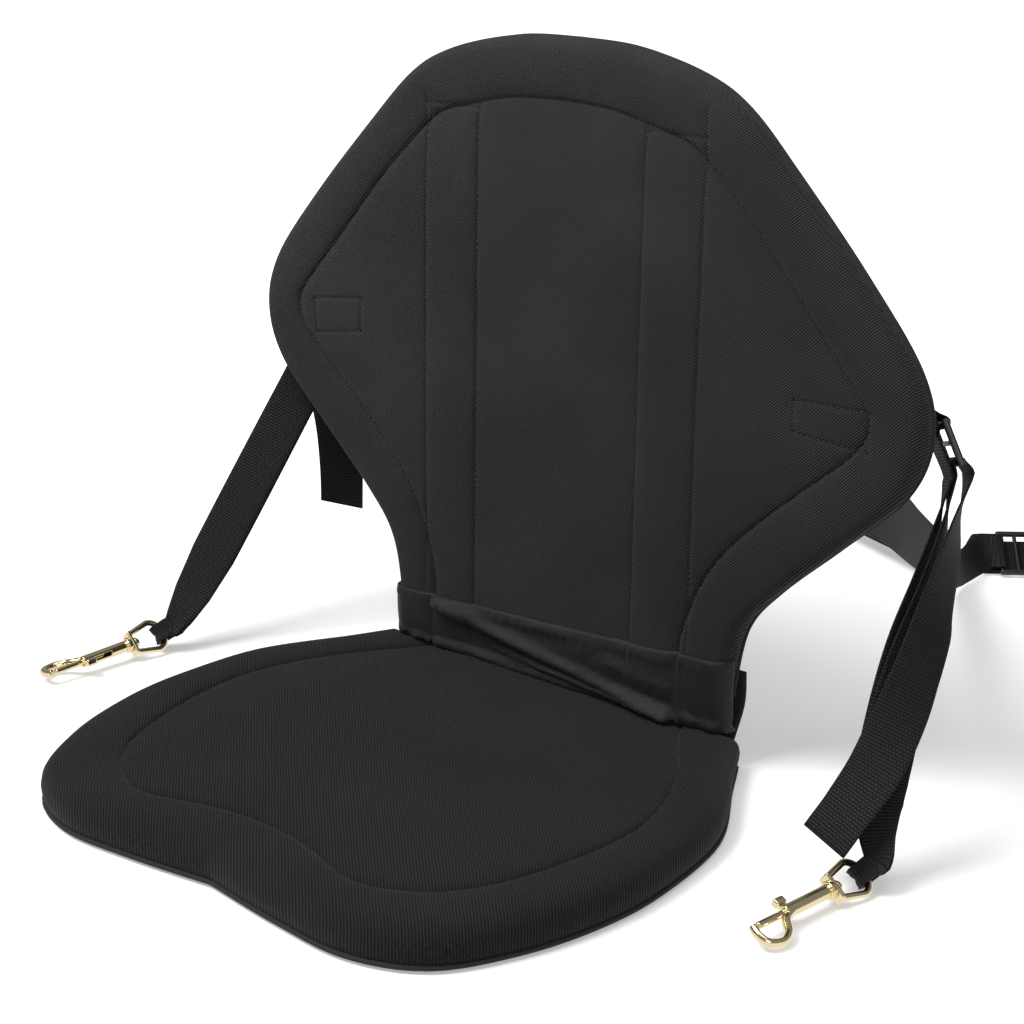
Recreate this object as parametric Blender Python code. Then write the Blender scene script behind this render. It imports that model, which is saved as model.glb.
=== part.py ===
"""Padded kayak seat: a flat pad, an upright winged back and four webbing straps with swivel bolt snaps.

Metres, +Z up. The seat faces -Y. The origin is the middle of the pad's underside, on the floor.
"""
import math

import bmesh
import bpy
from mathutils import Matrix, Vector
from mathutils.bvhtree import BVHTree

# Seat pad
PAD_WIDTH = 0.414
PAD_LENGTH = 0.339
PAD_THICK = 0.024
PAD_CROWN = 0.0010
PAD_ROUND_OVER = 0.34

# Backrest
BACK_WIDTH = 0.528
BACK_HEIGHT = 0.409
BACK_THICK = 0.022
BACK_CROWN = 0.0020
BACK_ROUND_OVER = 0.30
BACK_CLEARANCE = 0.020

# Stitched seam that runs round inside the edge of both cushions
SEAM_INSET = 0.037
SEAM_DEPTH = 0.0055
HINGE_SEAM_INSET = 0.008

# Cloth panels, and the gap that touching pieces keep
CLOTH = 0.0012
PANEL_INSET = 0.004
SEAT_GAP = 0.0003
CLEARANCE = 0.0004

# Hinge cloth
HINGE_WIDTH = 0.280
HINGE_REACH = 0.030
HINGE_RISE = 0.021
HINGE_CLOTH = 0.0016
HINGE_FOLD = 0.0032
HINGE_FOLD_PITCH = 0.052
HINGE_BACKING_LAP = 0.018

# Stays in the backrest, each in a stitched channel
CHANNEL_MIDDLE = 0.088
CHANNEL_WIDTH = 0.044
CHANNEL_LENGTH = 0.334
CHANNEL_START = 0.0225
STAY_WIDTH = 0.030
STAY_THICK = 0.0014
STAY_END_MARGIN = 0.012

# Webbing
WEB_WIDTH = 0.032
WEB_THICK = 0.0016
WEB_BUNCHED = 0.0125
WEB_STACK_GAP = 0.0006
BUNCH_REACH = 1.6
PLY_SLACK = 0.0022
TAB_SLACK = 0.0014
TAB_LIFT = 0.0004

# Anchor stitching on each wing
ANCHOR_HEIGHT = 0.197
ANCHOR_INNER = 0.174
ANCHOR_OUTER = 0.222

# Ladder lock buckles
LOCK_LENGTH = 0.030
LOCK_RAIL = 0.0040
LOCK_BAR = 0.0042
LOCK_THICK = 0.0042
LOCK_SIDE_PLAY = 0.0010
LOCK_BEVEL = 0.0013
LOCK_MIDDLE_BAR = 0.0034

# Swivel bolt snap
BARREL_RADIUS = 0.0042
BARREL_LENGTH = 0.0410
COLLAR_RADIUS = 0.0055
COLLAR_THICK = 0.0030
STEM_RADIUS = 0.0022
STEM_HEAD_RADIUS = 0.0038
STEM_HEAD_LENGTH = 0.0040
SWIVEL_PLAY = 0.0003
BOLT_RADIUS = 0.0022
BOLT_PLAY = 0.0003
BOLT_TAIL = 0.0165
BOLT_TRAVEL = 0.0150
GATE = 0.0225
KNOB_LENGTH = 0.0080
KNOB_WIDTH = 0.0052
KNOB_HEIGHT = 0.0050
KNOB_NECK = 0.0022
SLOT_PLAY = 0.0004
HOOK_WIDTH = 0.0066
HOOK_DEPTH = 0.0150
HOOK_THICK = 0.0052
PLATE_THICK = 0.0028
PLATE_WIDTH = 0.0180
PLATE_HEIGHT = 0.0090
EYE_WIRE_RADIUS = 0.0022
EYE_WIDTH = 0.0220
EYE_LENGTH = 0.0288
EYE_BOW_DEPTH = 0.0090

# Where things stand, from the driving dimensions
HINGE_Y = PAD_LENGTH / 2
PAD_BOTTOM = CLOTH + SEAT_GAP
PAD_TOP = PAD_BOTTOM + PAD_THICK
BACK_BOTTOM = PAD_TOP + BACK_CLEARANCE
BACK_FRONT_Y = HINGE_Y - BACK_THICK / 2
BACK_REAR_Y = HINGE_Y + BACK_THICK / 2
PANEL_REAR_Y = BACK_REAR_Y + SEAT_GAP + CLOTH
WING_X = BACK_WIDTH / 2
ANCHOR_Z = BACK_BOTTOM + ANCHOR_HEIGHT
LOCK_LOOP = LOCK_BAR / 2 + CLEARANCE + WEB_THICK / 2
BESIDE_LOCK = LOCK_LOOP + WEB_THICK + 2 * WEB_STACK_GAP

# Half outlines, hinge to far end, as shares of the half width and of the length
PAD_OUTLINE = (
    (0.715, 0.000), (0.797, 0.097), (0.955, 0.283), (1.000, 0.500), (0.976, 0.661),
    (0.899, 0.811), (0.768, 0.938), (0.556, 0.996), (0.290, 0.990), (0.000, 0.966),
)
BACK_OUTLINE = (
    (0.515, 0.000), (0.549, 0.120), (0.636, 0.196), (0.795, 0.293), (0.947, 0.391), (1.000, 0.484),
    (0.962, 0.582), (0.807, 0.709), (0.617, 0.841), (0.485, 0.924), (0.364, 0.966), (0.174, 0.995),
    (0.000, 1.000),
)
OUTLINE_STEPS = 2
REAR_STEPS = 6


def clear_scene():
    for obj in list(bpy.data.objects):
        bpy.data.objects.remove(obj, do_unlink=True)


def material(name, colour, roughness, metallic=0.0):
    mat = bpy.data.materials.new(name)
    mat.use_nodes = True
    shader = mat.node_tree.nodes["Principled BSDF"]
    shader.inputs["Base Color"].default_value = (*colour, 1.0)
    shader.inputs["Roughness"].default_value = roughness
    shader.inputs["Metallic"].default_value = metallic
    return mat


def add_object(name, mesh, mat):
    obj = bpy.data.objects.new(name, mesh)
    bpy.context.collection.objects.link(obj)
    if not mesh.materials:
        mesh.materials.append(mat)
    return obj


def mesh_from(name, points, faces):
    """A closed mesh with its faces turned outward."""
    mesh = bpy.data.meshes.new(name)
    bm = bmesh.new()
    verts = [bm.verts.new(point) for point in points]
    for face in faces:
        bm.faces.new([verts[index] for index in face])
    bmesh.ops.recalc_face_normals(bm, faces=bm.faces)
    bm.to_mesh(mesh)
    bm.free()
    mesh.shade_smooth()
    mesh.set_sharp_from_angle(angle=math.radians(35))
    return mesh


def smooth_path(points, steps):
    """Points on a Catmull-Rom curve through the given ones, with their mixed values."""
    path = []
    last = len(points) - 1
    for index in range(last):
        before = points[max(index - 1, 0)]
        start, end = points[index], points[index + 1]
        after = points[min(index + 2, last)]
        for step in range(steps):
            t = step / steps
            path.append(
                0.5 * (2 * start + (end - before) * t + (2 * before - 5 * start + 4 * end - after) * t * t
                       + (3 * start - before - 3 * end + after) * t ** 3)
            )
    path.append(points[last])
    return path


def full_outline(shares, width, length):
    """The closed outline as (u, v): u across, v away from the hinge, with the straight hinge edge first."""
    half = [Vector((u * width / 2, v * length)) for u, v in shares]
    side = smooth_path(half, OUTLINE_STEPS)
    corner = side[0].x
    hinge = [Vector((-corner + 2 * corner * k / REAR_STEPS, 0.0)) for k in range(REAR_STEPS)]
    mirrored = [Vector((-point.x, point.y)) for point in reversed(side[:-1])]
    return hinge + side + mirrored[:-1]


def distance_to_polyline(point, line):
    best = math.inf
    for start, end in zip(line, line[1:]):
        along = end - start
        t = max(0.0, min(1.0, (point - start).dot(along) / along.length_squared))
        best = min(best, (point - start - along * t).length)
    return best


def seam_line(outline, length):
    """The seam lies SEAM_INSET inside the free edge, and close to the hinge edge it runs on to it."""
    centre = Vector((0.0, length / 2))
    free_edge = outline[REAR_STEPS:] + [outline[0]]
    seam = []
    for rim in outline:
        low, high = 0.0, 1.0
        for _ in range(18):
            middle = (low + high) / 2
            point = centre.lerp(rim, middle)
            inside = point.y > HINGE_SEAM_INSET and distance_to_polyline(point, free_edge) > SEAM_INSET
            low, high = (middle, high) if inside else (low, middle)
        seam.append(centre.lerp(rim, low))
    return seam, centre


def cushion_rings(thick, round_over, crown):
    """Rings from the flat underside to the middle: (share from edge to seam, share to middle, height)."""
    groove = thick - SEAM_DEPTH
    rings = [(0.12, 0.0, 0.0)]
    for step in range(5):
        angle = math.radians(-50 + 35 * step)
        rings.append((round_over * (1 - math.cos(angle)), 0.0, thick / 2 + thick / 2 * math.sin(angle)))
    rings.append((0.62, 0.0, thick))
    rings.append((0.90, 0.0, thick - 0.55 * SEAM_DEPTH))
    rings.append((1.0, 0.0, groove))
    rings.append((1.0, 0.06, groove + 0.60 * SEAM_DEPTH))
    rings.append((1.0, 0.20, thick - 0.10 * SEAM_DEPTH))
    rings.append((1.0, 0.55, thick + 0.7 * crown))
    return rings


def cushion(name, outline, length, thick, round_over, crown, place, mat):
    seam, centre = seam_line(outline, length)
    count = len(outline)
    points, faces = [], []
    for rim_share, panel_share, height in cushion_rings(thick, round_over, crown):
        for rim, stitch in zip(outline, seam):
            flat = rim.lerp(stitch, rim_share).lerp(centre, panel_share)
            points.append(place(flat.x, flat.y, height))
    rows = len(points) // count
    for row in range(rows - 1):
        for k in range(count):
            low, high = row * count, (row + 1) * count
            after = (k + 1) % count
            faces.append((low + k, low + after, high + after, high + k))
    faces.append(tuple(range(count)))
    points.append(place(centre.x, centre.y, thick + crown))
    top = (rows - 1) * count
    for k in range(count):
        faces.append((top + k, top + (k + 1) % count, len(points) - 1))
    return add_object(name, mesh_from(name, points, faces), mat)


def flat_panel(name, outline, inset, low, high, place, mat):
    """A flat cloth panel between two depths, a little inside the cushion's outline."""
    centre = sum(outline, Vector((0.0, 0.0))) / len(outline)
    edge = [point + (centre - point).normalized() * inset for point in outline]
    count = len(edge)
    points = [place(p.x, p.y, low) for p in edge] + [place(p.x, p.y, high) for p in edge]
    faces = [tuple(range(count)), tuple(range(count, 2 * count))]
    for k in range(count):
        after = (k + 1) % count
        faces.append((k, after, count + after, count + k))
    return add_object(name, mesh_from(name, points, faces), mat)


def pad_place(u, v, height):
    return Vector((u, HINGE_Y - v, PAD_BOTTOM + height))


def back_place(u, v, height):
    return Vector((u, BACK_REAR_Y - height, BACK_BOTTOM + v))


def base_place(u, v, height):
    return Vector((u, HINGE_Y - v, height))


def rear_place(u, v, height):
    return Vector((u, BACK_REAR_Y + SEAT_GAP + height, BACK_BOTTOM + v))


def surface_tree(obj):
    mesh = obj.data
    return BVHTree.FromPolygons([v.co for v in mesh.vertices], [p.vertices for p in mesh.polygons])


def front_depth(tree, x, z, reach):
    """The backrest's most forward y around a point of its front."""
    best = BACK_FRONT_Y
    for across in (-reach, 0.0, reach):
        for up in (-reach, 0.0, reach):
            hit = tree.ray_cast(Vector((x + across, -1.0, z + up)), Vector((0.0, 1.0, 0.0)))[0]
            if hit is not None:
                best = min(best, hit.y)
    return best


def top_height(tree, x, y, reach):
    """The pad's highest z around a point of its top."""
    best = 0.0
    for across in (-reach, 0.0, reach):
        for along in (-reach, 0.0, reach):
            hit = tree.ray_cast(Vector((x + across, y + along, 1.0)), Vector((0.0, 0.0, -1.0)))[0]
            if hit is not None:
                best = max(best, hit.z)
    return best


def sheet_solid(name, front, back, mat):
    """A closed sheet from two equal grids of points, given as rows."""
    rows, columns = len(front), len(front[0])
    size = rows * columns
    points = [p for row in front for p in row] + [p for row in back for p in row]
    faces = []
    for r in range(rows - 1):
        for c in range(columns - 1):
            a = r * columns + c
            quad = (a, a + 1, a + columns + 1, a + columns)
            faces.append(quad)
            faces.append(tuple(size + index for index in quad))
    edge = [c for c in range(columns)]
    edge += [r * columns + columns - 1 for r in range(1, rows)]
    edge += [(rows - 1) * columns + c for c in range(columns - 2, -1, -1)]
    edge += [r * columns for r in range(rows - 2, 0, -1)]
    for a, b in zip(edge, edge[1:] + edge[:1]):
        faces.append((a, b, size + b, size + a))
    return add_object(name, mesh_from(name, points, faces), mat)


def hinge_cloth(pad_tree, back_tree, mat):
    """The loose cloth that joins pad and backrest, gathered into slanting folds."""
    columns, rows = 32, 6
    sample = HINGE_WIDTH / columns / 2
    upper_z = BACK_BOTTOM + HINGE_RISE
    front, back = [], []
    for r in range(rows + 1):
        v = r / rows
        front_row, back_row = [], []
        for c in range(columns + 1):
            x = HINGE_WIDTH * (c / columns - 0.5)
            low_y = HINGE_Y - HINGE_REACH
            low = Vector((x, low_y, top_height(pad_tree, x, low_y, sample) + SEAT_GAP))
            high_y = front_depth(back_tree, x, upper_z, sample) - SEAT_GAP - HINGE_CLOTH
            high = Vector((x, high_y, upper_z))
            corner = Vector((x, BACK_FRONT_Y - HINGE_REACH * 0.2, PAD_TOP + HINGE_CLOTH))
            point = low * (1 - v) ** 2 + corner * 2 * v * (1 - v) + high * v * v
            slope = (corner - low) * (1 - v) + (high - corner) * v
            outward = Vector((0.0, -slope.z, slope.y)).normalized()
            if v in (0.0, 1.0):
                outward = Vector((0.0, 0.0, 1.0)) if v == 0.0 else Vector((0.0, -1.0, 0.0))
            phase = 2 * math.pi * (x / HINGE_FOLD_PITCH + 1.3 * v)
            fold = HINGE_FOLD * math.sin(math.pi * v) * (0.5 + 0.5 * math.sin(phase))
            inner = point + outward * fold
            if v == 1.0:
                inner = point + Vector((0.0, HINGE_CLOTH, 0.0))
            back_row.append(inner)
            front_row.append(inner + outward * HINGE_CLOTH)
        front.append(front_row)
        back.append(back_row)
    return sheet_solid("hinge_cloth", front, back, mat)


def hinge_backing(mat):
    """The plain strip behind the hinge, from the base panel's rear edge up over the rear panel."""
    half = PAD_OUTLINE[0][0] * PAD_WIDTH / 2 - PANEL_INSET
    low_y = HINGE_Y + SEAT_GAP
    high_y = PANEL_REAR_Y + SEAT_GAP
    top_z = BACK_BOTTOM + HINGE_BACKING_LAP
    profile = [(low_y, 0.0), (low_y, PAD_TOP * 0.6), (high_y, BACK_BOTTOM * 0.9), (high_y, top_z)]
    front, back = [], []
    for y, z in profile:
        front.append([Vector((-half, y, z)), Vector((half, y, z))])
        back.append([Vector((-half, y + CLOTH, z)), Vector((half, y + CLOTH, z))])
    return sheet_solid("hinge_backing", front, back, mat)


def channel_grid(tree, middle, width, start, length, columns, rows, lift):
    """Rows of points over the backrest's front, lifted off it."""
    reach = max(width / columns, length / rows) / 2
    grid = []
    for r in range(rows + 1):
        row = []
        for c in range(columns + 1):
            x = middle + width * (c / columns - 0.5)
            z = BACK_BOTTOM + start + length * r / rows
            row.append(Vector((x, front_depth(tree, x, z, reach) - lift, z)))
        grid.append(row)
    return grid


def stay_and_channel(side, tree, stay_mat, cloth_mat):
    suffix = "right" if side > 0 else "left"
    middle = side * CHANNEL_MIDDLE
    rows = 16
    start = CHANNEL_START + STAY_END_MARGIN
    length = CHANNEL_LENGTH - 2 * STAY_END_MARGIN
    under = channel_grid(tree, middle, STAY_WIDTH, start, length, 2, rows, SEAT_GAP)
    over = [[p - Vector((0.0, STAY_THICK, 0.0)) for p in row] for row in under]
    sheet_solid(f"stay_{suffix}", over, under, stay_mat)

    room = STAY_THICK + 2 * SEAT_GAP
    half_flat = STAY_WIDTH / 2 + CLEARANCE
    half = CHANNEL_WIDTH / 2
    across = (-half, -half_flat - room, -half_flat, 0.0, half_flat, half_flat + room, half)
    raised = (0.0, 0.0, room, room, room, 0.0, 0.0)
    reach = CHANNEL_LENGTH / rows / 2
    under, over = [], []
    for r in range(rows + 1):
        z = BACK_BOTTOM + CHANNEL_START + CHANNEL_LENGTH * r / rows
        under_row, over_row = [], []
        for offset, rise in zip(across, raised):
            x = middle + offset
            y = front_depth(tree, x, z, reach) - SEAT_GAP - rise
            under_row.append(Vector((x, y, z)))
            over_row.append(Vector((x, y - CLOTH, z)))
        under.append(under_row)
        over.append(over_row)
    sheet_solid(f"stay_channel_{suffix}", over, under, cloth_mat)


class Station:
    """One place on a strap: its middle, the direction across it, its width and the eye's bow there."""

    def __init__(self, point, across, width=WEB_WIDTH, bow=None):
        self.point = Vector(point)
        self.across = Vector(across)
        self.width = width
        self.bow = Vector(bow) if bow is not None else Vector((0.0, 0.0, 0.0))

    def values(self):
        return self.point, self.across, self.width, self.bow


def smooth_stations(stations, steps):
    points = smooth_path([s.point for s in stations], steps)
    smooth = []
    for index, point in enumerate(points):
        whole, part = divmod(index, steps)
        start = stations[whole]
        end = stations[min(whole + 1, len(stations) - 1)]
        t = part / steps
        smooth.append(Station(point, start.across.lerp(end.across, t), start.width + (end.width - start.width) * t,
                              start.bow.lerp(end.bow, t)))
    return smooth


def ribbon(name, stations, mat, steps=2):
    """A flat strap through its stations. Where it is bunched, it is as much thicker as it is narrower."""
    stations = smooth_stations(stations, steps)
    columns = (-1.0, 0.0, 1.0)
    front, back = [], []
    last = len(stations) - 1
    for index, station in enumerate(stations):
        tangent = (stations[min(index + 1, last)].point - stations[max(index - 1, 0)].point).normalized()
        across = (station.across - tangent * station.across.dot(tangent)).normalized()
        normal = tangent.cross(across)
        thick = WEB_THICK * WEB_WIDTH / station.width
        front_row, back_row = [], []
        for column in columns:
            middle = station.point + across * column * station.width / 2 + station.bow * column * column
            front_row.append(middle + normal * thick / 2)
            back_row.append(middle - normal * thick / 2)
        front.append(front_row)
        back.append(back_row)
    return sheet_solid(name, front, back, mat)


class Lock:
    """Where a ladder lock lies: its middle, its run away from the anchor bar, and its bars' direction."""

    def __init__(self, middle, run, bars):
        self.middle = Vector(middle)
        self.run = Vector(run).normalized()
        self.bars = (Vector(bars) - self.run * Vector(bars).dot(self.run)).normalized()
        self.face = self.run.cross(self.bars)
        reach = (LOCK_LENGTH - LOCK_BAR) / 2
        self.anchor_bar = self.middle - self.run * reach
        self.grip_bar = self.middle + self.run * reach

    def matrix(self):
        rows = Matrix((self.bars, self.run, -self.face)).transposed()
        return Matrix.Translation(self.middle) @ rows.to_4x4()


class Snap:
    """Where a snap lies: the middle of its swivel plate, its axis to the nose, its eye's and its hook's tilt."""

    def __init__(self, plate, axis, eye_tilt, hook_tilt, hook_side):
        self.plate = Vector(plate)
        self.axis = Vector(axis).normalized()
        level = Vector((-self.axis.y, self.axis.x, 0.0)).normalized()
        upright = self.axis.cross(level) if self.axis.cross(level).z > 0 else level.cross(self.axis)
        tilt = math.radians(eye_tilt)
        self.eye_across = level * math.cos(tilt) - upright * math.sin(tilt)
        tilt = math.radians(hook_tilt)
        self.hook_out = level * hook_side * math.cos(tilt) - upright * math.sin(tilt)
        self.bow_middle = self.plate - self.axis * EYE_LENGTH

    def matrix(self, out):
        rows = Matrix((self.axis, out, self.axis.cross(out))).transposed()
        return Matrix.Translation(self.plate) @ rows.to_4x4()


def at_hinge(x, behind, z):
    """A place given from the hinge line."""
    return Vector((x, HINGE_Y + behind, z))


def at_anchor(side, beyond, behind, z):
    """A place given from the anchor stitching's outer end, so that what hangs from it goes with it."""
    return at_hinge(side * (ANCHOR_OUTER + beyond), behind, z)


FRONT_LOCKS = {
    "right": Lock(at_anchor(1, 0.0360, 0.0364, ANCHOR_Z - 0.0067), (0.478, 0.0, -0.876),
                  (-0.590, 0.741, -0.321)),
    "left": Lock(at_anchor(-1, 0.0200, 0.0385, ANCHOR_Z - 0.019), (-0.286, -0.423, -0.859),
                 (-0.774, -0.406, 0.485)),
}
TAB_SHAPE = {
    "right": ((-1.0, 0.0, 0.15), (0.30, 0.25, 0.0), 1.0),
    "left": ((0.0163, -0.0231, 0.0079), (-0.30, 0.25, 0.0), 1.0),
}
REAR_LOCKS = {
    "right": Lock(at_hinge(0.112, 0.462, 0.0150), (0.780, 0.620, 0.0), (-0.510, 0.640, 0.570)),
    "left": Lock(at_hinge(-0.112, 0.462, 0.0150), (-0.780, 0.620, 0.0), (-0.510, -0.640, -0.570)),
}
FRONT_SNAPS = {
    "right": Snap(at_anchor(1, 0.062, -0.113, 0.0102), (-0.150, -0.989, 0.0), 35, 24, 1),
    "left": Snap(at_anchor(-1, 0.067, -0.129, 0.0120), (-0.110, -0.992, -0.050), 45, 12, -1),
}
REAR_SNAPS = {
    "right": Snap(at_hinge(0.231, 0.5444, 0.0102), (0.930, 0.360, 0.0), 12, 24, 1),
    "left": Snap(at_hinge(-0.231, 0.5444, 0.0102), (-0.930, 0.360, 0.0), -12, 24, -1),
}


def turned(profile, segments=12):
    """Points and faces of a shape turned about X, from (x, radius) pairs that start and end on the axis."""
    points, faces, rings = [], [], []
    for x, radius in profile:
        if radius == 0.0:
            rings.append([len(points)])
            points.append(Vector((x, 0.0, 0.0)))
            continue
        ring = []
        for k in range(segments):
            angle = 2 * math.pi * k / segments
            ring.append(len(points))
            points.append(Vector((x, radius * math.cos(angle), radius * math.sin(angle))))
        rings.append(ring)
    for low, high in zip(rings, rings[1:]):
        for k in range(segments):
            after = (k + 1) % segments
            corners = [low[k % len(low)], low[after % len(low)], high[after % len(high)], high[k % len(high)]]
            faces.append(tuple(dict.fromkeys(corners)))
    return points, faces


def swept(path, half_thick, half_wide, sides=6):
    """A rounded bar along a path in the XY plane, with its thickness in that plane and its width along Z."""
    points, faces = [], []
    last = len(path) - 1
    for index, middle in enumerate(path):
        tangent = (path[min(index + 1, last)] - path[max(index - 1, 0)]).normalized()
        inward = Vector((-tangent.y, tangent.x, 0.0))
        for k in range(sides):
            angle = 2 * math.pi * (k + 0.5) / sides
            points.append(middle + inward * half_thick[index] * math.cos(angle)
                          + Vector((0.0, 0.0, half_wide[index] * math.sin(angle))))
    for ring in range(last):
        for k in range(sides):
            after = (k + 1) % sides
            low, high = ring * sides, (ring + 1) * sides
            faces.append((low + k, low + after, high + after, high + k))
    faces.append(tuple(range(sides)))
    faces.append(tuple(last * sides + k for k in range(sides)))
    return points, faces


def block_mesh(name, low, high, bevel=0.0):
    """A box between two corners, with its edges rounded."""
    mesh = bpy.data.meshes.new(name)
    bm = bmesh.new()
    bmesh.ops.create_cube(bm, size=1.0)
    size = Vector(high) - Vector(low)
    middle = (Vector(high) + Vector(low)) / 2
    for vert in bm.verts:
        vert.co = Vector((vert.co.x * size.x, vert.co.y * size.y, vert.co.z * size.z)) + middle
    if bevel:
        bmesh.ops.bevel(bm, geom=bm.edges[:], offset=bevel, segments=2, profile=0.5, affect="EDGES")
    bmesh.ops.recalc_face_normals(bm, faces=bm.faces)
    bm.to_mesh(mesh)
    bm.free()
    return mesh


def combined(name, base, steps):
    """The base mesh with other meshes joined to it or cut from it, one after another."""
    obj = bpy.data.objects.new(name, base)
    bpy.context.collection.objects.link(obj)
    helpers = []
    for operation, mesh in steps:
        helper = bpy.data.objects.new(f"{name}_helper", mesh)
        bpy.context.collection.objects.link(helper)
        helpers.append(helper)
        modifier = obj.modifiers.new(operation, "BOOLEAN")
        modifier.operation = operation
        modifier.solver = "EXACT"
        modifier.object = helper
    bpy.context.view_layer.update()
    result = bpy.data.meshes.new_from_object(obj.evaluated_get(bpy.context.evaluated_depsgraph_get()))
    for helper in helpers + [obj]:
        bpy.data.objects.remove(helper, do_unlink=True)
    result.name = name
    result.materials.clear()
    result.shade_smooth()
    result.set_sharp_from_angle(angle=math.radians(35))
    return result


def lock_mesh():
    """A ladder lock: two rails joined by round anchor, middle and grip bars. X across, Y along."""
    inner = WEB_WIDTH / 2 + LOCK_SIDE_PLAY
    outer = inner + LOCK_RAIL
    half_long, half_thick = LOCK_LENGTH / 2, LOCK_THICK / 2
    base = block_mesh("ladder_lock", (inner, -half_long, -half_thick), (outer, half_long, half_thick), LOCK_BEVEL)
    rail = block_mesh("rail", (-outer, -half_long, -half_thick), (-inner, half_long, half_thick), LOCK_BEVEL)
    reach = (LOCK_LENGTH - LOCK_BAR) / 2
    end = inner + LOCK_RAIL / 2
    steps = [("UNION", rail)]
    for along, radius in ((-reach, LOCK_BAR / 2), (0.0, LOCK_MIDDLE_BAR / 2), (reach, LOCK_BAR / 2)):
        points, faces = turned([(-end, 0.0), (-end, radius * 0.98), (end, radius * 0.98), (end, 0.0)], 12)
        steps.append(("UNION", mesh_from("bar", [p + Vector((0.0, along, 0.0)) for p in points], faces)))
    return combined("ladder_lock", base, steps)


def snap_eye_mesh():
    """The swivel eye: a plate bored for the stem, and a round bow for the webbing. X to the nose, Y across."""
    plate = block_mesh("snap_eye", (-PLATE_THICK, -PLATE_WIDTH / 2, -PLATE_HEIGHT / 2),
                       (0.0, PLATE_WIDTH / 2, PLATE_HEIGHT / 2), PLATE_THICK / 4)
    side = EYE_WIDTH / 2
    bow_start = EYE_BOW_DEPTH - EYE_LENGTH
    path = [Vector((-PLATE_THICK / 2, PLATE_WIDTH / 2 - EYE_WIRE_RADIUS, 0.0))]
    turns = 8
    for k in range(turns + 1):
        angle = math.pi * k / turns
        path.append(Vector((bow_start - EYE_BOW_DEPTH * math.sin(angle), side * math.cos(angle), 0.0)))
    path.append(Vector((-PLATE_THICK / 2, EYE_WIRE_RADIUS - PLATE_WIDTH / 2, 0.0)))
    radii = [EYE_WIRE_RADIUS] * len(path)
    bow = mesh_from("bow", *swept(path, radii, radii))
    hole_radius = STEM_RADIUS + SWIVEL_PLAY
    hole = mesh_from("hole", *turned([(-2 * PLATE_THICK, 0.0), (-2 * PLATE_THICK, hole_radius),
                                      (PLATE_THICK, hole_radius), (PLATE_THICK, 0.0)]))
    return combined("snap_eye", plate, [("UNION", bow), ("DIFFERENCE", hole)])


def hook_path():
    """The hook's middle line, from inside the barrel's front round to the nose."""
    end = BARREL_LENGTH + GATE
    points = [
        (BARREL_LENGTH - BARREL_RADIUS * 1.4, BARREL_RADIUS * 0.35),
        (BARREL_LENGTH + BARREL_RADIUS * 0.6, BARREL_RADIUS * 1.05),
        (BARREL_LENGTH + GATE * 0.36, HOOK_DEPTH * 0.78),
        (BARREL_LENGTH + GATE * 0.70, HOOK_DEPTH),
        (end + HOOK_THICK * 0.35, HOOK_DEPTH * 0.82),
        (end + HOOK_THICK * 0.80, HOOK_DEPTH * 0.40),
        (end + BOLT_PLAY + HOOK_THICK / 2, -BOLT_RADIUS * 0.5),
    ]
    return smooth_path([Vector((x, y, 0.0)) for x, y in points], 3)


def snap_body_mesh():
    """Stem, collar, barrel and hook in one casting, bored for the bolt and slotted for its knob."""
    plate = PLATE_THICK + SWIVEL_PLAY
    collar = SWIVEL_PLAY + COLLAR_THICK
    profile = [
        (-plate - STEM_HEAD_LENGTH, 0.0), (-plate - STEM_HEAD_LENGTH, STEM_HEAD_RADIUS * 0.6),
        (-plate - STEM_HEAD_LENGTH * 0.5, STEM_HEAD_RADIUS), (-plate, STEM_HEAD_RADIUS), (-plate, STEM_RADIUS),
        (SWIVEL_PLAY, STEM_RADIUS), (SWIVEL_PLAY, COLLAR_RADIUS), (collar, COLLAR_RADIUS),
        (collar, BARREL_RADIUS * 0.86), (collar + COLLAR_THICK * 0.4, BARREL_RADIUS * 0.86),
        (collar + COLLAR_THICK * 0.7, BARREL_RADIUS), (BARREL_LENGTH, BARREL_RADIUS), (BARREL_LENGTH, 0.0),
    ]
    body = mesh_from("snap_body", *turned(profile))
    path = hook_path()
    last = len(path) - 1
    thick = [HOOK_THICK / 2 * (1.0 - 0.12 * k / last) for k in range(last + 1)]
    wide = [HOOK_WIDTH / 2 * (1.1 - 0.25 * k / last) for k in range(last + 1)]
    hook = mesh_from("hook", *swept(path, thick, wide))
    bore_radius = BOLT_RADIUS + BOLT_PLAY
    bore_start = BARREL_LENGTH - BOLT_TAIL - BOLT_TRAVEL - BOLT_PLAY
    bore_end = BARREL_LENGTH + BARREL_RADIUS * 2
    bore = mesh_from("bore", *turned([(bore_start, 0.0), (bore_start, bore_radius), (bore_end, bore_radius),
                                      (bore_end, 0.0)]))
    half_slot = KNOB_NECK / 2 + SLOT_PLAY
    slot_start = BARREL_LENGTH - KNOB_LENGTH - BOLT_TRAVEL
    slot = block_mesh("slot", (slot_start, -2 * BARREL_RADIUS, -half_slot), (bore_end, 0.0, half_slot))
    return combined("snap_body", body, [("UNION", hook), ("DIFFERENCE", bore), ("DIFFERENCE", slot)])


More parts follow.
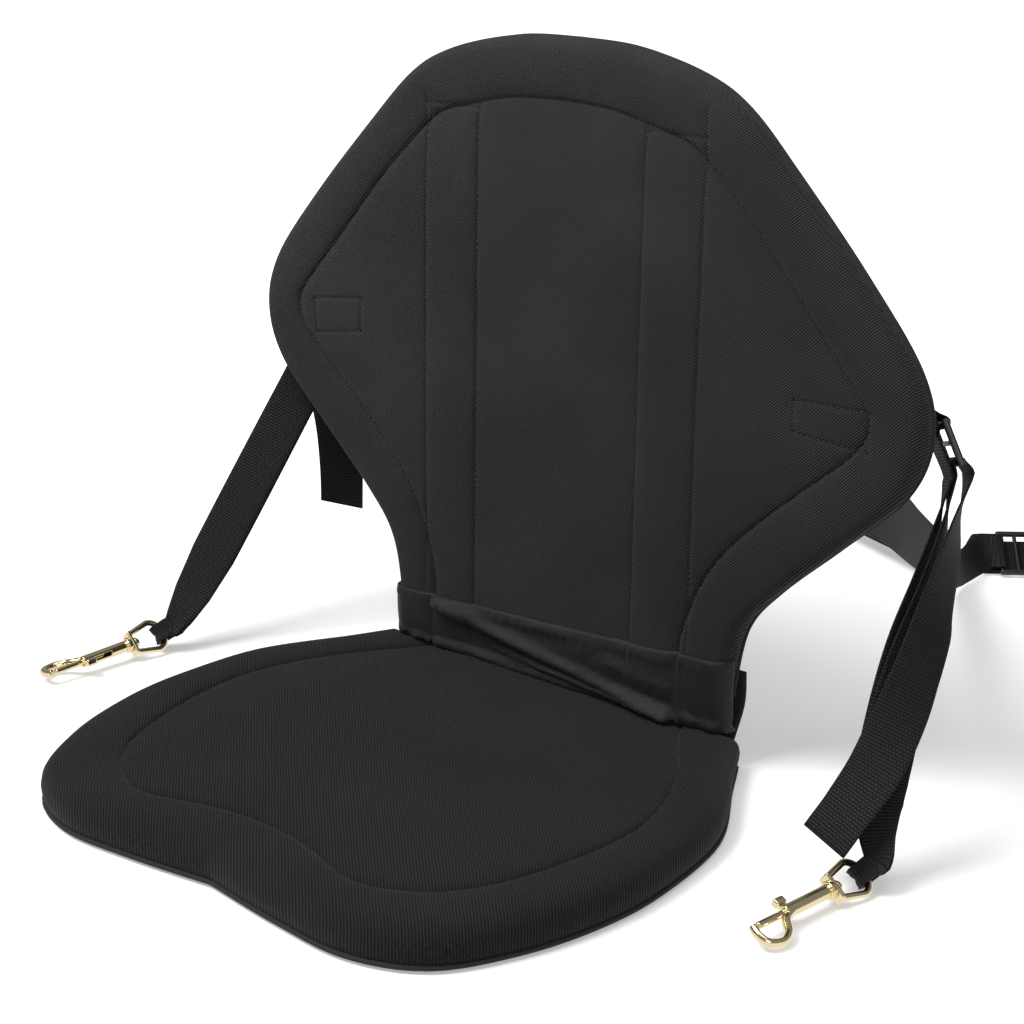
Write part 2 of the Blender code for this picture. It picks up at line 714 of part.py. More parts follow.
def snap_bolt_mesh():
    """The sliding bolt with its thumb knob."""
    start, end = BARREL_LENGTH - BOLT_TAIL, BARREL_LENGTH + GATE
    rounding = BOLT_RADIUS * 0.3
    rod = mesh_from("snap_bolt", *turned([(start, 0.0), (start, BOLT_RADIUS), (end - rounding, BOLT_RADIUS),
                                          (end, BOLT_RADIUS - rounding), (end, 0.0)], 12))
    knob_end = BARREL_LENGTH + KNOB_LENGTH * 0.15
    knob_start = knob_end - KNOB_LENGTH
    seat = BARREL_RADIUS + SLOT_PLAY
    neck = block_mesh("neck", (knob_start + KNOB_LENGTH * 0.15, -seat - KNOB_HEIGHT / 2, -KNOB_NECK / 2),
                      (knob_end - KNOB_LENGTH * 0.15, 0.0, KNOB_NECK / 2))
    cap = block_mesh("cap", (knob_start, -seat - KNOB_HEIGHT, -KNOB_WIDTH / 2),
                     (knob_end, -seat, KNOB_WIDTH / 2), KNOB_HEIGHT / 4)
    return combined("snap_bolt", rod, [("UNION", neck), ("UNION", cap)])


def place_snap(where, snap, meshes, mat):
    """Three pieces on an empty at the swivel: the eye on its own tilt, body and bolt on the hook's."""
    eye_mesh, body_mesh, bolt_mesh = meshes
    swivel = bpy.data.objects.new(f"swivel_{where}", None)
    bpy.context.collection.objects.link(swivel)
    swivel.matrix_world = snap.matrix(snap.hook_out)
    bpy.context.view_layer.update()
    eye = add_object(f"snap_eye_{where}", eye_mesh, mat)
    eye.matrix_world = snap.matrix(snap.eye_across)
    for name, mesh in (("snap_body", body_mesh), ("snap_bolt", bolt_mesh)):
        piece = add_object(f"{name}_{where}", mesh, mat)
        piece.parent = swivel


def bunched_thick(width):
    return WEB_THICK * WEB_WIDTH / width


def loop_stations(centre, axis, pull, radius, width, turn=1, bow=None, steps=6):
    """A half turn round a bar, on the side away from the pull. A turn of 1 starts on the side pull x axis."""
    away = (pull - axis * pull.dot(axis)).normalized()
    first = away.cross(axis) * turn
    stations = []
    for k in range(steps + 1):
        angle = math.pi * k / steps
        offset = first * math.cos(angle) - away * math.sin(angle)
        stations.append(Station(centre + offset * radius, axis, width, bow))
    return stations


def turning(keys, share):
    """The across direction at a share of a path, from evenly spaced keys."""
    place = min(share, 0.9999) * (len(keys) - 1)
    whole = int(place)
    return keys[whole].lerp(keys[whole + 1], place - whole)


def pair_stations(path, across_keys, loop_centre, loop_radius, width_end, bow=None, flat=0.0, twist=1.0,
                  slack=0.0):
    """Two plies along a path with a loop round a bar at its end, and a third ply outside the first."""
    last = len(path) - 1
    length = sum((b - a).length for a, b in zip(path, path[1:]))
    first, second, outside = [], [], []
    travelled = 0.0
    for index, point in enumerate(path):
        if index:
            travelled += (point - path[index - 1]).length
        share = (max(0.0, travelled / length - flat) / (1.0 - flat)) ** twist
        tangent = (path[min(index + 1, last)] - path[max(index - 1, 0)]).normalized()
        across = turning(across_keys, share)
        across = (across - tangent * across.dot(tangent)).normalized()
        normal = tangent.cross(across)
        closing = max(0.0, 1.0 - (length - travelled) / (WEB_WIDTH * BUNCH_REACH))
        closing = closing * closing * (3 - 2 * closing)
        width = WEB_WIDTH + (width_end - WEB_WIDTH) * closing
        apart = (bunched_thick(width) + WEB_STACK_GAP) / 2 + slack * math.sin(math.pi * min(1.0, share * 1.1))
        apart += TAB_LIFT if flat else 0.0
        apart += (loop_radius - apart) * max(0.0, closing * 2 - 1)
        curve = bow * closing if bow is not None else None
        first.append(Station(point - normal * apart, across, width, curve))
        second.append(Station(point + normal * apart, across, width, curve))
        beyond = apart * 2 + (WEB_THICK + WEB_STACK_GAP) / 2 + 3 * TAB_LIFT * min(1.0, share * 2)
        outside.append(Station(point - normal * beyond, across))
    loop = loop_stations(loop_centre, across_keys[-1], path[-2] - path[-1], loop_radius, width_end, 1, bow)
    return first + loop + second[::-1], outside


def bezier(start, start_out, end_out, end, steps, power=1.0):
    path = []
    for k in range(steps + 1):
        t = 1 - (1 - k / steps) ** power
        path.append(start * (1 - t) ** 3 + start_out * 3 * t * (1 - t) ** 2
                    + end_out * 3 * t * t * (1 - t) + end * t ** 3)
    return path


def doubled_strap(name, lock, snap, fixed_end, waypoints, across_keys, tail, mat):
    """Down from its fixed end, round the snap's bow, up again, over the lock's grip bar and down as a tail."""
    bow_radius = EYE_WIRE_RADIUS * 1.16 + CLEARANCE + bunched_thick(WEB_BUNCHED) / 2
    under = BESIDE_LOCK - (WEB_THICK + WEB_STACK_GAP) / 2
    start = lock.grip_bar - lock.face * under + lock.run * LOCK_LOOP * 1.4
    axis = across_keys[-1]
    pull = (waypoints[-1] if waypoints else lock.grip_bar) - snap.bow_middle
    away = (pull - axis * pull.dot(axis)).normalized()
    end = snap.bow_middle + away * bow_radius * 0.6
    near = snap.bow_middle + away * bow_radius * 2.6
    straight = waypoints or [start.lerp(near, share) for share in (0.25, 0.5, 0.75)]
    path = smooth_path([start] + straight + [near], 2)[:-1] + [near, near.lerp(end, 0.5), end]
    share = WEB_BUNCHED / EYE_WIDTH
    bow = snap.axis * EYE_BOW_DEPTH * (1 - math.sqrt(1 - share * share))
    plies = pair_stations(path, across_keys, snap.bow_middle, bow_radius, WEB_BUNCHED, bow, 0.0, 1.0, PLY_SLACK)[0]
    over = loop_stations(lock.grip_bar, lock.bars, lock.run, LOCK_LOOP, WEB_WIDTH, -1)
    leaving = lock.grip_bar + lock.run * LOCK_LOOP * 3 + lock.face * (LOCK_LOOP + WEB_THICK)
    return ribbon(name, fixed_end + plies + over + [Station(leaving, lock.bars)] + tail, mat, 1)


def stations_at(rows):
    """Stations from (x, behind the hinge, z, across) rows."""
    return [Station(at_hinge(x, behind, z), across) for x, behind, z, across in rows]


def stations_from_anchor(side, rows):
    """Stations from (beyond the anchor stitching, behind the hinge, z, across) rows."""
    return [Station(at_anchor(side, beyond, behind, z), across) for beyond, behind, z, across in rows]


def stack_y(ply):
    """How far behind the hinge the middle of a ply lies in the stack sewn to the wing."""
    return PANEL_REAR_Y - HINGE_Y + SEAT_GAP + WEB_THICK / 2 + ply * (WEB_THICK + WEB_STACK_GAP)


def tab_plies(side, lock):
    """The tab's stations from the wing to the lock's anchor bar and back, and those of the ply beside it."""
    y = stack_y(1.5) + 2 * TAB_LIFT
    path = [at_hinge(side * x, y, ANCHOR_Z) for x in (ANCHOR_INNER, (ANCHOR_INNER + ANCHOR_OUTER) / 2)]
    sewn_end = at_hinge(side * ANCHOR_OUTER, y, ANCHOR_Z)
    pull, leave, twist = TAB_SHAPE["right" if side > 0 else "left"]
    pull = Vector(pull)
    away = (pull - lock.bars * pull.dot(lock.bars)).normalized()
    end = lock.anchor_bar + away * LOCK_LOOP * 0.7
    reach = (end - sewn_end).length
    path += bezier(sewn_end, sewn_end + Vector(leave) * reach, end + away * reach * 0.35, end, 8)
    upright = Vector((0.0, 0.0, 1.0)) if lock.bars.z > 0 else Vector((0.0, 0.0, -1.0))
    sewn = ANCHOR_OUTER - ANCHOR_INNER
    return pair_stations(path, [upright, lock.bars], lock.anchor_bar, LOCK_LOOP, WEB_WIDTH, None,
                         sewn / (sewn + reach), twist, TAB_SLACK)


def front_tab(side, lock, mat):
    """A short webbing tab sewn behind the wing, doubled round the lock's anchor bar."""
    suffix = "right" if side > 0 else "left"
    return ribbon(f"front_tab_{suffix}", tab_plies(side, lock)[0], mat, 1)


def rear_anchor_strap(side, lock, mat):
    """The long strap sewn behind the wing that carries the rear lock."""
    suffix = "right" if side > 0 else "left"
    y = stack_y(3.55)
    shift = -0.008 if side > 0 else -0.014
    sewn = ANCHOR_OUTER + shift
    rows = [
        (sewn - 0.025, y, ANCHOR_Z + 0.010, (0.94, 0.0, 0.35)),
        (sewn - 0.016, y, ANCHOR_Z - 0.012, (0.94, 0.0, 0.35)),
        (sewn - 0.008, y + 0.004, ANCHOR_Z - 0.035, (0.90, 0.10, 0.40)),
        (sewn - 0.008, 0.050, 0.186, (0.60, 0.20, 0.70)),
        (0.190 + shift / 2, 0.130, 0.140, (0.25, 0.30, 0.90)), (0.152, 0.235, 0.087, (0.20, 0.35, 0.90)),
        (0.116, 0.335, 0.040, (0.10, 0.30, 0.95)), (0.101, 0.380, 0.0215, (0.0, 0.20, 0.98)),
        (0.096, 0.405, 0.0175, (-0.10, 0.10, 0.99)),
    ]
    placed = [Station(at_hinge(side * x, b, z), (side * a[0], a[1], a[2])) for x, b, z, a in rows]
    stations = smooth_stations(placed, 2)
    axis = lock.bars if lock.bars.z > 0 else -lock.bars
    away = -lock.run
    loop = loop_stations(lock.anchor_bar, axis, away, LOCK_LOOP, WEB_WIDTH, -side)
    stations.append(Station(loop[0].point + away * WEB_WIDTH * 0.45, axis))
    stations.append(Station(loop[0].point + away * LOCK_LOOP * 0.7, axis))
    stub = [Station(loop[-1].point + away * reach, axis) for reach in (LOCK_LOOP * 0.7, WEB_WIDTH * 0.45)]
    return ribbon(f"rear_anchor_strap_{suffix}", stations + loop + stub, mat, 1)


def front_strap(side, lock, snap, mat):
    """Sewn behind the wing, down to the front snap, back up to the lock and down again as a loose tail."""
    suffix = "right" if side > 0 else "left"
    if side > 0:
        fixed = tab_plies(side, lock)[1][:-2]
        fixed += [Station(lock.anchor_bar + lock.run * reach - lock.face * BESIDE_LOCK, lock.bars)
                  for reach in (LOCK_BAR * 0.7, LOCK_LENGTH * 0.4)]
        facing = Vector((0.782, 0.623, 0.0))
        keys = [lock.bars, (lock.bars + facing) * 0.7, facing, snap.eye_across]
        route = [(0.0425, 0.0290, 0.2060), (0.0449, 0.0200, 0.1890), (0.0470, 0.0110, 0.1730),
                 (0.0490, -0.0010, 0.1530), (0.0510, -0.0170, 0.1290), (0.0555, -0.0380, 0.0990),
                 (0.0595, -0.0560, 0.0710), (0.0630, -0.0680, 0.0470)]
        tail = [(0.0520, 0.0275, 0.1970, (-0.35, 0.84, -0.42)), (0.0555, 0.0145, 0.1765, (-0.05, 0.89, -0.46)),
                (0.0595, -0.0050, 0.1525, (0.20, 0.87, -0.46)), (0.0630, -0.0180, 0.1390, (0.42, 0.79, -0.45)),
                (0.0650, -0.0370, 0.1170, (0.58, 0.70, -0.40)), (0.0645, -0.0530, 0.0950, (0.80, 0.50, -0.30)),
                (0.0610, -0.0710, 0.0690, (0.95, 0.20, -0.15)), (0.0535, -0.0890, 0.0460, (0.98, 0.0, -0.05)),
                (0.0470, -0.0990, 0.0300, (0.98, 0.0, -0.05))]
    else:
        y = stack_y(0)
        fixed = [(-0.0210, y, ANCHOR_Z + 0.0210, (-0.80, 0.0, 0.60)),
                 (-0.0100, y, ANCHOR_Z + 0.0063, (-0.80, 0.0, 0.60)),
                 (0.0080, y, ANCHOR_Z - 0.0180, (-0.80, 0.0, 0.60)),
                 (0.0155, 0.0220, ANCHOR_Z - 0.0255, (-0.79, -0.25, 0.55))]
        fixed = stations_from_anchor(side, fixed)
        keys = [lock.bars, lock.bars.lerp(-snap.eye_across, 0.5), -snap.eye_across]
        if snap.eye_across.dot(lock.bars) > 0:
            keys = [lock.bars, lock.bars.lerp(snap.eye_across, 0.5), snap.eye_across]
        route = []
        tail = [(0.0340, 0.0360, 0.1900, (-0.78, -0.42, 0.35)), (0.0280, 0.0420, 0.1700, (-0.80, -0.50, 0.15)),
                (0.0210, 0.0420, 0.1450, (-0.80, -0.55, 0.05)), (0.0160, 0.0400, 0.1150, (-0.80, -0.60, 0.0)),
                (0.0130, 0.0370, 0.0880, (-0.80, -0.60, 0.0))]
    route = [at_anchor(side, *place) for place in route]
    tail = stations_from_anchor(side, tail)
    return doubled_strap(f"front_strap_{suffix}", lock, snap, fixed, route, keys, tail, mat)


def rear_strap(side, lock, snap, mat):
    """Sewn under the end of the rear anchor strap, and on past the lock to the snap and back."""
    suffix = "right" if side > 0 else "left"
    sewn = lock.anchor_bar - lock.run * WEB_WIDTH * 0.45
    fixed = [Station(point - lock.face * BESIDE_LOCK, lock.bars)
             for point in (sewn, lock.anchor_bar, lock.middle)]
    axis = -snap.eye_across if snap.eye_across.dot(lock.bars) < 0 else snap.eye_across
    if side > 0:
        tail = [(0.134, 0.481, 0.028, (-0.50, 0.64, 0.50)), (0.147, 0.493, 0.038, (-0.50, 0.66, 0.46)),
                (0.160, 0.505, 0.043, (-0.52, 0.70, 0.38)), (0.172, 0.518, 0.042, (-0.55, 0.70, 0.30)),
                (0.182, 0.530, 0.036, (-0.55, 0.70, 0.25))]
    else:
        tail = [(-0.142, 0.489, 0.032, (-0.40, -0.70, -0.30)), (-0.147, 0.497, 0.046, (-0.35, -0.80, -0.15)),
                (-0.138, 0.497, 0.062, (-0.30, -0.85, 0.0)), (-0.118, 0.482, 0.062, (-0.30, -0.85, 0.10)),
                (-0.090, 0.464, 0.046, (-0.35, -0.80, 0.10)), (-0.055, 0.452, 0.022, (-0.45, -0.75, 0.20)),
                (-0.015, 0.442, 0.010, (-0.55, -0.70, 0.30)), (0.046, 0.416, 0.0095, (-0.55, -0.70, 0.30)),
                (0.072, 0.404, 0.0095, (-0.55, -0.70, 0.30))]
    return doubled_strap(f"rear_strap_{suffix}", lock, snap, fixed, [], [lock.bars, axis], stations_at(tail), mat)


def main():
    clear_scene()
    pad_cloth = material("seat_cloth", (0.027, 0.027, 0.029), 0.85)
    back_cloth = material("back_cloth", (0.030, 0.030, 0.032), 0.85)
    panel_cloth = material("panel_cloth", (0.020, 0.020, 0.021), 0.80)
    satin_cloth = material("hinge_cloth", (0.018, 0.018, 0.020), 0.55)
    webbing = material("webbing", (0.010, 0.010, 0.011), 0.75)
    plastic = material("lock_plastic", (0.008, 0.008, 0.009), 0.30)
    stay_plastic = material("stay_plastic", (0.55, 0.56, 0.55), 0.50)
    brass = material("brass", (0.86, 0.74, 0.47), 0.16, 1.0)

    pad_outline = full_outline(PAD_OUTLINE, PAD_WIDTH, PAD_LENGTH)
    back_outline = full_outline(BACK_OUTLINE, BACK_WIDTH, BACK_HEIGHT)
    pad = cushion("seat_cushion", pad_outline, PAD_LENGTH, PAD_THICK, PAD_ROUND_OVER, PAD_CROWN, pad_place,
                  pad_cloth)
    back = cushion("back_cushion", back_outline, BACK_HEIGHT, BACK_THICK, BACK_ROUND_OVER, BACK_CROWN, back_place,
                   back_cloth)
    flat_panel("seat_base_panel", pad_outline, PANEL_INSET, 0.0, CLOTH, base_place, panel_cloth)
    flat_panel("back_rear_panel", back_outline, PANEL_INSET, 0.0, CLOTH, rear_place, panel_cloth)
    pad_tree, back_tree = surface_tree(pad), surface_tree(back)
    hinge_cloth(pad_tree, back_tree, satin_cloth)
    hinge_backing(panel_cloth)

    lock_shape = lock_mesh()
    snap_shapes = (snap_eye_mesh(), snap_body_mesh(), snap_bolt_mesh())
    for side, suffix in ((1, "right"), (-1, "left")):
        stay_and_channel(side, back_tree, stay_plastic, back_cloth)
        front_tab(side, FRONT_LOCKS[suffix], webbing)
        rear_anchor_strap(side, REAR_LOCKS[suffix], webbing)
        front_strap(side, FRONT_LOCKS[suffix], FRONT_SNAPS[suffix], webbing)
        rear_strap(side, REAR_LOCKS[suffix], REAR_SNAPS[suffix], webbing)
        for place, lock in (("front", FRONT_LOCKS[suffix]), ("rear", REAR_LOCKS[suffix])):
            add_object(f"ladder_lock_{place}_{suffix}", lock_shape, plastic).matrix_world = lock.matrix()
        place_snap(f"front_{suffix}", FRONT_SNAPS[suffix], snap_shapes, brass)
        place_snap(f"rear_{suffix}", REAR_SNAPS[suffix], snap_shapes, brass)


main()
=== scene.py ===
"""Looks of the padded kayak seat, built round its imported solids. Metres, +Z up, the seat faces -Y."""
import math
from dataclasses import dataclass

import bmesh
import bpy
import numpy as np
from mathutils import Matrix, Vector, noise
from mathutils.bvhtree import BVHTree
from mathutils.geometry import delaunay_2d_cdt


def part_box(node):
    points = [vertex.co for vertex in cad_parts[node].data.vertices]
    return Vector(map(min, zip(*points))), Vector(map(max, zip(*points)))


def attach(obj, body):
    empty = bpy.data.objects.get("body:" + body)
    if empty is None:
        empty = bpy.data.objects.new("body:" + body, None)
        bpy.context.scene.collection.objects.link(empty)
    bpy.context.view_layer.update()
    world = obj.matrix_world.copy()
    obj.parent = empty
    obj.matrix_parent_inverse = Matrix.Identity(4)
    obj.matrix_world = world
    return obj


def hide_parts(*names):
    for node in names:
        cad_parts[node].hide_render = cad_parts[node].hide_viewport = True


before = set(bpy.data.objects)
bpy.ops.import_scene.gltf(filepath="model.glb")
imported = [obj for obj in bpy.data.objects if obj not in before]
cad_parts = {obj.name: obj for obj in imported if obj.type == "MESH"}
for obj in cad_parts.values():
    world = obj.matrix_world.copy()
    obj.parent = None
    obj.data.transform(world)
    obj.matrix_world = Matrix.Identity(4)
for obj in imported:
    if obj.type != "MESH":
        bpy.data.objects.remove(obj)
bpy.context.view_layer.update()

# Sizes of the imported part
PAD_WIDTH, PAD_LENGTH, PAD_THICK = 0.414, 0.339, 0.024
BACK_WIDTH, BACK_HEIGHT, BACK_THICK = 0.528, 0.409, 0.022
CLOTH, SEAT_GAP, CLEARANCE = 0.0012, 0.0003, 0.0004
PANEL_INSET, PANEL_SEAM = 0.004, 0.0085
PIPING_RADIUS, PIPING_INSET, PIPING_LIFT = 0.0017, 0.0018, 0.0016
CHANNELS, CHANNEL_FOOT, CHANNEL_SEAM = ((0.066, 0.11), (-0.11, -0.066)), 0.02, 0.36
OUTLINE_STEP, SEAM_STEP, FILL = 0.0036, 0.0022, 0.7
HINGE_Y = PAD_LENGTH / 2
PAD_BOTTOM = CLOTH + SEAT_GAP
PAD_TOP = PAD_BOTTOM + PAD_THICK
BACK_BOTTOM = PAD_TOP + 0.02
BACK_FRONT_Y = HINGE_Y - BACK_THICK / 2
BACK_REAR_Y = HINGE_Y + BACK_THICK / 2
PANEL_REAR_Y = BACK_REAR_Y + SEAT_GAP + CLOTH
ANCHOR_Z = BACK_BOTTOM + 0.197
ANCHOR_INNER, ANCHOR_OUTER = 0.174, 0.222

WEB_WIDTH, WEB_THICK, WEB_BUNCHED, WEB_STACK_GAP = 0.032, 0.0016, 0.0125, 0.0006
BUNCH_REACH, PLY_SLACK, TAB_SLACK, TAB_LIFT = 1.6, 0.0022, 0.0014, 0.0004
LOCK_LENGTH, LOCK_BAR = 0.03, 0.0042
LOCK_LOOP = LOCK_BAR / 2 + CLEARANCE + WEB_THICK / 2
BESIDE_LOCK = LOCK_LOOP + WEB_THICK + 2 * WEB_STACK_GAP
BARREL_RADIUS, BARREL_LENGTH, COLLAR_RADIUS, COLLAR_THICK = 0.0042, 0.041, 0.0055, 0.003
STEM_RADIUS, STEM_HEAD_RADIUS, STEM_HEAD_LENGTH, SWIVEL_PLAY = 0.0022, 0.0038, 0.004, 0.0003
BOLT_RADIUS, BOLT_PLAY, BOLT_TAIL, BOLT_TRAVEL, GATE = 0.0022, 0.0003, 0.0165, 0.015, 0.0225
KNOB_LENGTH, KNOB_WIDTH, KNOB_HEIGHT, KNOB_NECK, SLOT_PLAY = 0.008, 0.0052, 0.005, 0.0022, 0.0004
HOOK_WIDTH, HOOK_DEPTH, HOOK_THICK = 0.0066, 0.015, 0.0052
PLATE_THICK, PLATE_WIDTH, PLATE_HEIGHT = 0.0028, 0.018, 0.009
EYE_WIRE_RADIUS, EYE_WIDTH, EYE_LENGTH, EYE_BOW_DEPTH = 0.0022, 0.022, 0.0288, 0.009

PAD_OUTLINE = (
    (0.715, 0.000), (0.797, 0.097), (0.955, 0.283), (1.000, 0.5), (0.976, 0.661),
    (0.899, 0.811), (0.768, 0.938), (0.556, 0.996), (0.29, 0.99), (0.000, 0.966),
)
BACK_OUTLINE = (
    (0.515, 0.000), (0.549, 0.12), (0.636, 0.196), (0.795, 0.293), (0.947, 0.391), (1.000, 0.484),
    (0.962, 0.582), (0.807, 0.709), (0.617, 0.841), (0.485, 0.924), (0.364, 0.966), (0.174, 0.995),
    (0.000, 1.000),
)
# Half seams in millimetres: across, and away from the hinge edge
PAD_SEAM = (
    (102, 0), (117, 25), (135, 50), (152, 80), (164, 110), (170, 140), (169, 172), (163, 206), (153, 240),
    (142, 263), (127, 281), (110, 292), (93, 298), (74, 297), (50, 289), (25, 283), (0, 281),
)
BACK_SEAM = (
    (103, 16), (104, 36), (109, 56), (119, 80), (133, 102), (155, 126), (181, 150), (204, 170), (219, 184),
    (228, 196), (230, 206), (227, 217), (214, 233), (189, 262), (155, 302), (129, 329), (106, 350), (90, 358),
    (67, 364), (38, 370), (0, 372),
)


# Materials

WHITE = (1.0, 1.0, 1.0, 1.0)


def node_in(tree, kind, **values):
    """A new node of a tree, with values and links for its sockets by name, or by number as i0, i1 and so on."""
    node = tree.nodes.new(kind)
    for key, value in values.items():
        socket = node.inputs[int(key[1:]) if key[1:].isdigit() else key.replace("_", " ")]
        if isinstance(value, bpy.types.NodeSocket):
            tree.links.new(value, socket)
        elif value is not None:
            socket.default_value = value
    return node


class Shader:
    """A Principled material with short calls for its nodes."""

    def __init__(self, name, colour, roughness, metallic=0.0, **sockets):
        self.material = bpy.data.materials.new(name)
        self.material.use_nodes = True
        self.tree = self.material.node_tree
        self.shader = self.tree.nodes["Principled BSDF"]
        sockets.update(Base_Color=(*colour, 1.0), Roughness=roughness, Metallic=metallic)
        for socket, value in sockets.items():
            self.shader.inputs[socket.replace("_", " ")].default_value = value

    def feed(self, socket, output):
        self.tree.links.new(output, self.shader.inputs[socket])

    def coordinates(self, kind="Object"):
        return node_in(self.tree, "ShaderNodeTexCoord").outputs[kind]

    def math(self, operation, a, b=0.0, clamp=False):
        node = node_in(self.tree, "ShaderNodeMath", i0=a, i1=b)
        node.operation, node.use_clamp = operation, clamp
        return node.outputs[0]

    def dot(self, vector, along):
        node = node_in(self.tree, "ShaderNodeVectorMath", i0=vector, i1=along)
        node.operation = "DOT_PRODUCT"
        return node.outputs["Value"]

    def noise(self, vector, scale, detail=2.0, roughness=0.5):
        return node_in(self.tree, "ShaderNodeTexNoise", Vector=vector, Scale=scale, Detail=detail,
                       Roughness=roughness).outputs["Fac"]

    def span(self, value, low, high, to_low, to_high):
        return node_in(self.tree, "ShaderNodeMapRange", Value=value, From_Min=low, From_Max=high, To_Min=to_low,
                       To_Max=to_high).outputs["Result"]

    def wave(self, value):
        """A sine of a phase counted in turns, from 0 to 1."""
        turns = self.math("MULTIPLY", value, 2 * math.pi)
        return self.math("ADD", self.math("MULTIPLY", self.math("SINE", turns), 0.5), 0.5)

    def mix(self, factor, a, b):
        """A colour between two, by a factor."""
        node = node_in(self.tree, "ShaderNodeMix")
        node.data_type = "RGBA"
        self.tree.links.new(factor, node.inputs["Factor"])
        node.inputs[6].default_value, node.inputs[7].default_value = (*a, 1.0), (*b, 1.0)
        return node.outputs[2]

    def bump(self, height, distance, strength=1.0, under=None):
        return node_in(self.tree, "ShaderNodeBump", Distance=distance, Strength=strength, Height=height,
                       Normal=under).outputs["Normal"]


def twill(name, along, colour, light, pitch=0.0015, depth=0.00045, roughness=0.86, sheen=0.05):
    """A fine twill: diagonal ribs across a direction, crossed by thread, with uneven tone and lint."""
    cloth = Shader(name, colour, roughness, Sheen_Weight=sheen, Sheen_Roughness=0.45, Specular_IOR_Level=0.22)
    place = cloth.coordinates()
    drift = cloth.math("MULTIPLY", cloth.noise(place, 45.0, 2.0), 0.9)
    along = Vector(along).normalized()
    rib = cloth.math("ADD", cloth.dot(place, along / pitch), drift)
    rib = cloth.wave(rib)
    cross = along.cross(Vector((0.0, -1.0, 0.0)) if abs(along.z) > 0.1 else Vector((0.0, 0.0, 1.0)))
    thread = cloth.wave(cloth.math("ADD", cloth.dot(place, cross / (pitch * 0.62)), drift))
    weave = cloth.math("MULTIPLY", rib, cloth.span(thread, 0.0, 1.0, 0.55, 1.0))
    tone = cloth.span(cloth.noise(place, 11.0, 3.0), 0.3, 0.7, -0.1, 0.1)
    lint = cloth.span(cloth.noise(place, 900.0, 1.0), 0.72, 0.8, 0.0, 0.3)
    share = cloth.math("ADD", cloth.math("ADD", weave, tone), lint, clamp=True)
    cloth.feed("Base Color", cloth.mix(share, colour, light))
    cloth.feed("Roughness", cloth.span(weave, 0.0, 1.0, roughness + 0.08, roughness - 0.06))
    wrinkle = cloth.bump(cloth.noise(place, 38.0, 3.0, 0.6), 0.0012, 0.35)
    cloth.feed("Normal", cloth.bump(weave, depth, 0.8, wrinkle))
    return cloth.material


def webbing_cloth(name, colour, light):
    """Woven strap: ribs across it, broken into columns that step by half at each rib. UV is in metres."""
    cloth = Shader(name, colour, 0.72, Specular_IOR_Level=0.18)
    place = cloth.coordinates("UV")
    row = cloth.dot(place, (0.0, 1.0 / 0.00205, 0.0))
    ribs = cloth.math("ABSOLUTE", cloth.math("SINE", cloth.math("MULTIPLY", row, math.pi)))
    step = cloth.math("MULTIPLY", cloth.math("FLOOR", row), 0.5)
    column = cloth.math("ADD", cloth.dot(place, (1.0 / 0.0023, 0.0, 0.0)), step)
    columns = cloth.math("ABSOLUTE", cloth.math("SINE", cloth.math("MULTIPLY", column, math.pi)))
    weave = cloth.math("MULTIPLY", cloth.math("POWER", ribs, 0.7), cloth.span(columns, 0.0, 0.8, 0.45, 1.0))
    yarn = cloth.noise(cloth.coordinates(), 620.0, 2.0)
    fuzz = cloth.span(yarn, 0.35, 0.75, -0.1, 0.3)
    share = cloth.math("ADD", cloth.math("MULTIPLY", weave, 0.75), fuzz, clamp=True)
    cloth.feed("Base Color", cloth.mix(share, colour, light))
    cloth.feed("Roughness", cloth.span(weave, 0.0, 1.0, 0.8, 0.5))
    fine = cloth.bump(yarn, 0.00015, 0.5)
    cloth.feed("Normal", cloth.bump(weave, 0.0005, 0.9, fine))
    return cloth.material


def thread_material():
    thread = Shader("thread", (0.012, 0.012, 0.013), 0.7)
    place = thread.coordinates()
    twist = thread.noise(place, 2400.0, 2.0)
    thread.feed("Base Color", thread.mix(twist, (0.006, 0.006, 0.007), (0.022, 0.022, 0.024)))
    thread.feed("Normal", thread.bump(twist, 0.0002, 0.5))
    return thread.material


def brass_material():
    brass = Shader("brass", (0.86, 0.74, 0.47), 0.16, 1.0)
    place = brass.coordinates()
    cloud = brass.noise(place, 55.0, 3.0)
    fine = brass.noise(place, 700.0, 2.0)
    brass.feed("Base Color", brass.mix(cloud, (0.8, 0.65, 0.36), (0.92, 0.8, 0.55)))
    wear = brass.math("ADD", cloud, brass.math("MULTIPLY", fine, 0.4))
    brass.feed("Roughness", brass.span(wear, 0.4, 1.1, 0.09, 0.24))
    brass.feed("Normal", brass.bump(brass.noise(place, 160.0, 2.0), 0.0003, 0.25))
    return brass.material


def plastic_material(name, colour, light, roughness):
    plastic = Shader(name, colour, roughness, Specular_IOR_Level=0.5)
    place = plastic.coordinates()
    grain = plastic.noise(place, 1300.0, 2.0)
    plastic.feed("Base Color", plastic.mix(plastic.noise(place, 60.0, 2.0), colour, light))
    plastic.feed("Roughness", plastic.span(grain, 0.3, 0.7, roughness - 0.06, roughness + 0.1))
    plastic.feed("Normal", plastic.bump(grain, 0.00008, 0.5))
    return plastic.material


